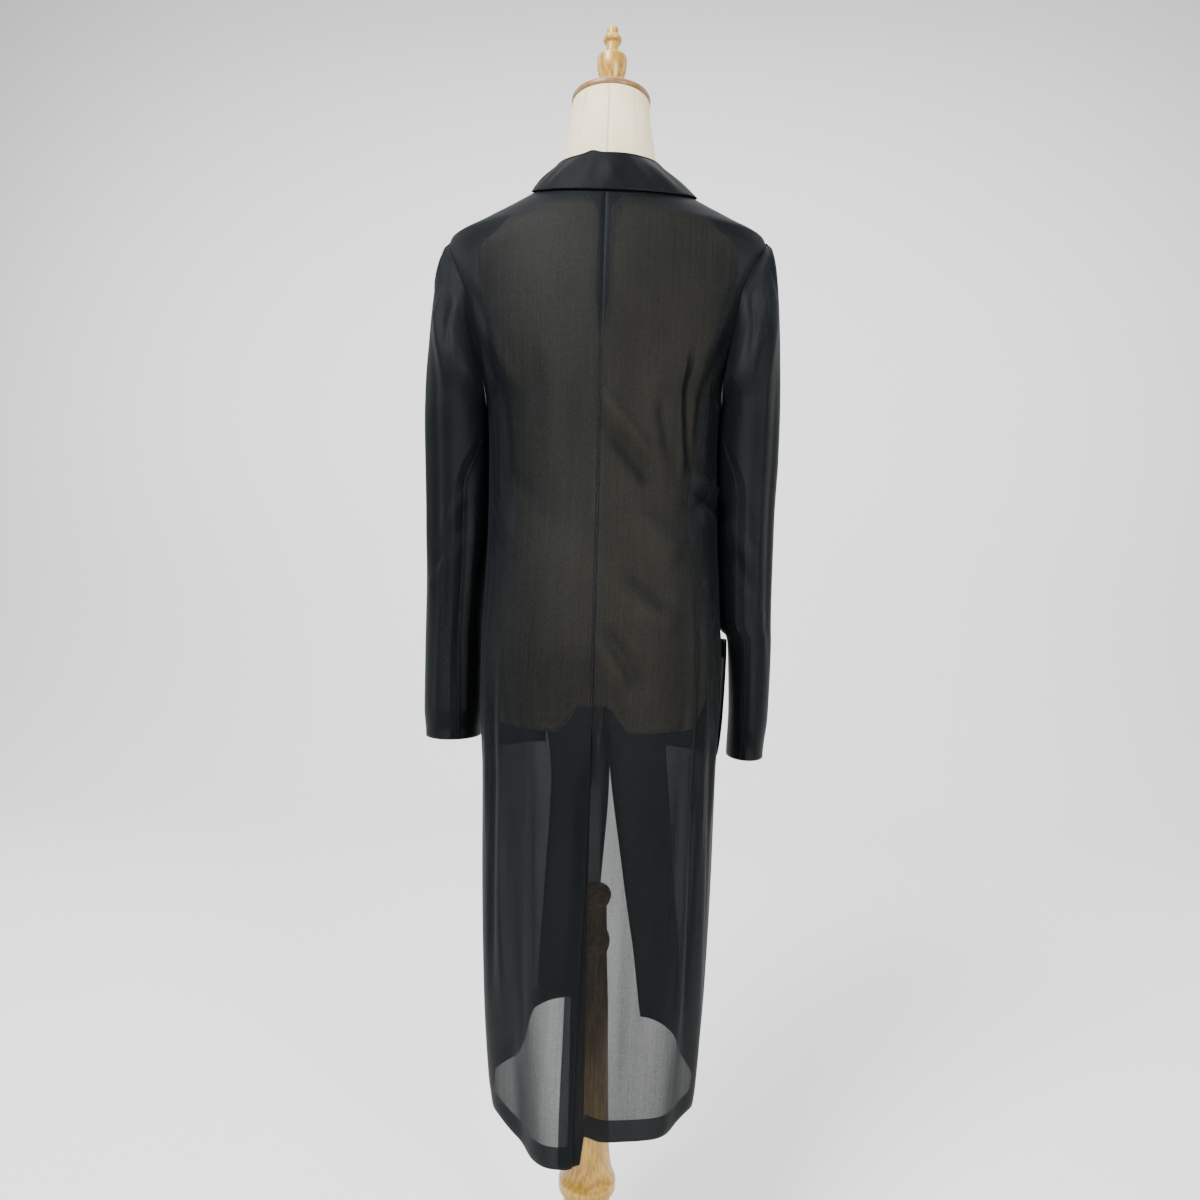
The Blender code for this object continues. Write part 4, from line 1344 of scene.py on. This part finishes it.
def collar_place(u, du, v, dv, deep):
    u = u + du / COLLAR_ROUND
    v = v + np.where(v > 0.5, dv / COLLAR_DEPTH, 0)
    return lifted(collar_surface, u, v, deep, 0.002, 0.004)


collar_rows = stations(132, COLLAR_TURN, COLLAR_TURN), stations(60, 0.0, COLLAR_TURN)
collar = panel("cloth_collar", *collar_rows, collar_place, COLLAR_PLIES, True)
hand_over(collar, "collar", cloth, (0.510, 0.122), 0.040)

# %% [markdown]
# The form is lofted through level sections like the coat, as one grid that is closed into a tube by merging
# its two long edges, and into a solid by drawing its end rows to a point. Its cover is sewn in long gores,
# so the distance to the nearest gore seam is kept on each vertex for the linen to read. The notch across its
# underside, which shows through the coat, is cut up into the lowest rows of the sides.

# %% Dress form
# Height, half width, depth behind, depth in front
FORM = (
    (0.790, 0.130, 0.108, 0.094),
    (0.830, 0.143, 0.118, 0.102),
    (0.880, 0.147, 0.120, 0.106),
    (0.960, 0.134, 0.104, 0.099),
    (1.060, 0.112, 0.084, 0.092),
    (1.130, 0.118, 0.089, 0.104),
    (1.180, 0.125, 0.094, 0.119),
    (1.235, 0.137, 0.098, 0.128),
    (1.300, 0.150, 0.096, 0.115),
    (1.360, 0.168, 0.092, 0.098),
    (1.404, 0.1715, 0.082, 0.080),
    (1.428, 0.149, 0.078, 0.073),
    (1.453, 0.126, 0.074, 0.067),
    (1.472, 0.0955, 0.070, 0.062),
    (1.490, 0.0685, 0.065, 0.057),
    (1.515, 0.0625, 0.061, 0.055),
    (1.545, 0.0575, 0.057, 0.0535),
    (1.600, 0.0505, 0.0505, 0.0505),
)
NECK_TOP = 1.600
FORM_BOTTOM = 0.786
NOTCH_RISE = 0.033
NOTCH_HALF = 0.036
NOTCH_FADE = 0.12
RIM_ROUND = 0.004
GORES = (0, 38, 90, 142, 180)
FORM_COLUMNS = 112
UNDER_ROWS = 14
SIDE_ROWS = 130
TOP_ROWS = 8
FORM_ROWS = UNDER_ROWS + SIDE_ROWS + TOP_ROWS


def underside(x):
    """The height of the form's underside, with its notch across the middle."""
    return FORM_BOTTOM + NOTCH_RISE * (1 - ramp(NOTCH_HALF * 0.4, NOTCH_HALF * 1.3, abs(x)))


def form_place(u, du, v, dv, deep):
    rows = v * FORM_ROWS
    size = np.clip(rows / UNDER_ROWS, 0, 1) * np.clip((FORM_ROWS - rows) / TOP_ROWS, 0, 1)
    z = FORM[0][0] + (NECK_TOP - FORM[0][0]) * np.clip((rows - UNDER_ROWS) / SIDE_ROWS, 0, 1)
    half, behind, before = (smooth(FORM, c, z) for c in (1, 2, 3))
    a = 2 * math.pi * (u - np.floor(u))
    depth = np.where(np.cos(a) > 0, behind, before)
    x, y = half * size * np.sin(a), -depth * size * np.cos(a)
    bottom = underside(x) + RIM_ROUND * ramp(0.6, 1.0, size)
    lift = (underside(x) - FORM_BOTTOM) * (1 - ramp(0, NOTCH_FADE, z - FORM[0][0]))
    return np.stack([x, y, np.where(rows <= UNDER_ROWS, bottom, z + lift)], axis=-1)


def dress_form():
    whole = stations(FORM_COLUMNS), stations(FORM_ROWS)
    piece = panel("padded_form", *whole, form_place)
    bm = bmesh.new()
    bm.from_mesh(piece.data)
    bmesh.ops.remove_doubles(bm, verts=bm.verts, dist=0.00002)
    bmesh.ops.recalc_face_normals(bm, faces=bm.faces)
    bm.to_mesh(piece.data)
    bm.free()
    co = np.array([v.co for v in piece.data.vertices])
    degrees = np.degrees(np.arctan2(np.abs(co[:, 0]), -co[:, 1]))
    reach = np.hypot(co[:, 0], co[:, 1])
    gap = np.min([np.abs(np.radians(degrees - at)) * reach for at in GORES], axis=0)
    piece.data.attributes["edge"].data.foreach_set("value", gap.astype(np.float32))
    return hand_over(piece, "form_body", linen)


form = dress_form()
print("form vertices:", len(form.data.vertices))

# %% [markdown]
# Turned wood is the simplest of solids to describe: one profile, spun once round its axis. The profile here
# is a short table, and a curve through it rounds the beads and hollows as a gouge does. The spin closes on
# itself, the points on the axis are merged, and the distance to the nearest crest is kept for its wear.

# %% Turned wood
FINIAL = (
    (1.703, 0.0),
    (1.7025, 0.006),
    (1.699, 0.0078),
    (1.6925, 0.0075),
    (1.690, 0.0110),
    (1.6865, 0.0123),
    (1.683, 0.0110),
    (1.681, 0.0082),
    (1.667, 0.0078),
    (1.6645, 0.0110),
    (1.6630, 0.0185),
    (1.6605, 0.0197),
    (1.652, 0.0196),
    (1.642, 0.0178),
    (1.633, 0.0150),
    (1.627, 0.0140),
    (1.623, 0.0190),
    (1.618, 0.0200),
    (1.614, 0.0160),
    (1.6095, 0.0260),
    (1.6095, 0.0),
)
NECK_CAP = (
    (1.6092, 0.0),
    (1.6092, 0.0450),
    (1.6084, 0.0500),
    (1.6048, 0.0518),
    (1.6010, 0.0510),
    (1.6003, 0.0490),
    (1.6003, 0.0),
)
POST = (
    (0.5760, 0.0),
    (0.5760, 0.0120),
    (0.5720, 0.0200),
    (0.5630, 0.0235),
    (0.5540, 0.0210),
    (0.5470, 0.0180),
    (0.5180, 0.0190),
    (0.5110, 0.0215),
    (0.5020, 0.0230),
    (0.4930, 0.0210),
    (0.4870, 0.0195),
    (0.4200, 0.0225),
    (0.3000, 0.0255),
    (0.2350, 0.0280),
    (0.2050, 0.0320),
    (0.1900, 0.0375),
    (0.1800, 0.0370),
    (0.1720, 0.0300),
    (0.1200, 0.0330),
    (0.0603, 0.0480),
    (0.0603, 0.0),
)
BASE = (
    (0.0600, 0.0),
    (0.0600, 0.0620),
    (0.0540, 0.0720),
    (0.0400, 0.0900),
    (0.0330, 0.1500),
    (0.0270, 0.1690),
    (0.0150, 0.1750),
    (0.0, 0.1720),
    (0.0, 0.0),
)
PROFILE_STEPS = 6
SPIN_STEPS = 72
SHARP = math.radians(50)


def turned(name, node, profile, wood):
    """A turned piece: its profile on a smooth curve, spun once round the axis and closed."""
    table = [(i, r, z) for i, (z, r) in enumerate(profile)]
    at = np.linspace(0, len(profile) - 1, PROFILE_STEPS * (len(profile) - 1) + 1)
    radius, height = smooth(table, 1, at), smooth(table, 2, at)
    crests = [
        (profile[k][1], profile[k][0])
        for k in range(1, len(profile) - 1)
        if profile[k][1] >= profile[k - 1][1] and profile[k][1] > profile[k + 1][1]
    ]
    bm = bmesh.new()
    line = [bm.verts.new((r, 0, z)) for r, z in zip(radius, height)]
    edges = [bm.edges.new(pair) for pair in zip(line, line[1:])]
    spun = {"cent": (0, 0, 0), "axis": (0, 0, 1), "angle": 2 * math.pi}
    bmesh.ops.spin(bm, geom=line + edges, **spun, steps=SPIN_STEPS, use_merge=True)
    bmesh.ops.remove_doubles(bm, verts=bm.verts, dist=0.00001)
    bmesh.ops.recalc_face_normals(bm, faces=bm.faces)
    o = shown(name, bm)
    mesh = o.data
    mesh.set_sharp_from_angle(angle=SHARP)
    co = np.array([v.co for v in mesh.vertices])
    near = np.min([np.hypot(np.hypot(co[:, 0], co[:, 1]) - r, co[:, 2] - z) for r, z in crests], axis=0)
    mesh.attributes.new("edge", "FLOAT", "POINT").data.foreach_set("value", near.astype(np.float32))
    print(name, "faces", len(mesh.polygons), "crests", len(crests))
    return hand_over(o, node, wood)


turned("turned_finial", "finial", FINIAL, honey_wood)
turned("turned_cap", "neck_cap", NECK_CAP, cap_wood)
turned("turned_post", "post", POST, honey_wood)
turned("turned_base", "base", BASE, honey_wood)

# %% Pole
POLE_RADIUS = 0.0075
POLE_TOP = FORM_BOTTOM + NOTCH_RISE - 0.0003
POLE_FOOT = POST[0][0] + 0.0003


def pole():
    """A drawn steel rod with softly broken ends."""
    bm = bmesh.new()
    long, ends = POLE_TOP - POLE_FOOT, {"radius1": POLE_RADIUS, "radius2": POLE_RADIUS}
    bmesh.ops.create_cone(bm, cap_ends=True, segments=48, depth=long, **ends)
    bmesh.ops.translate(bm, verts=bm.verts, vec=(0, 0, (POLE_TOP + POLE_FOOT) / 2))
    rims = [e for e in bm.edges if len(e.link_faces) == 2 and e.calc_face_angle() > 1]
    bmesh.ops.bevel(bm, geom=rims, offset=0.0006, segments=2, profile=0.5, affect="EDGES", material=-1)
    o = shown("steel_rod", bm)
    o.data.set_sharp_from_angle(angle=SHARP)
    return hand_over(o, "pole", steel)


pole()
print("pieces:", len(made), "triangles:", sum(len(p.vertices) - 2 for o in made for p in o.data.polygons))

# %% [markdown]
# Last, the scene is brought up to date. Cloth may stand a little proud of its solid, but the two boxes should
# be nearly the same.

# %% Finish
bpy.context.view_layer.update()
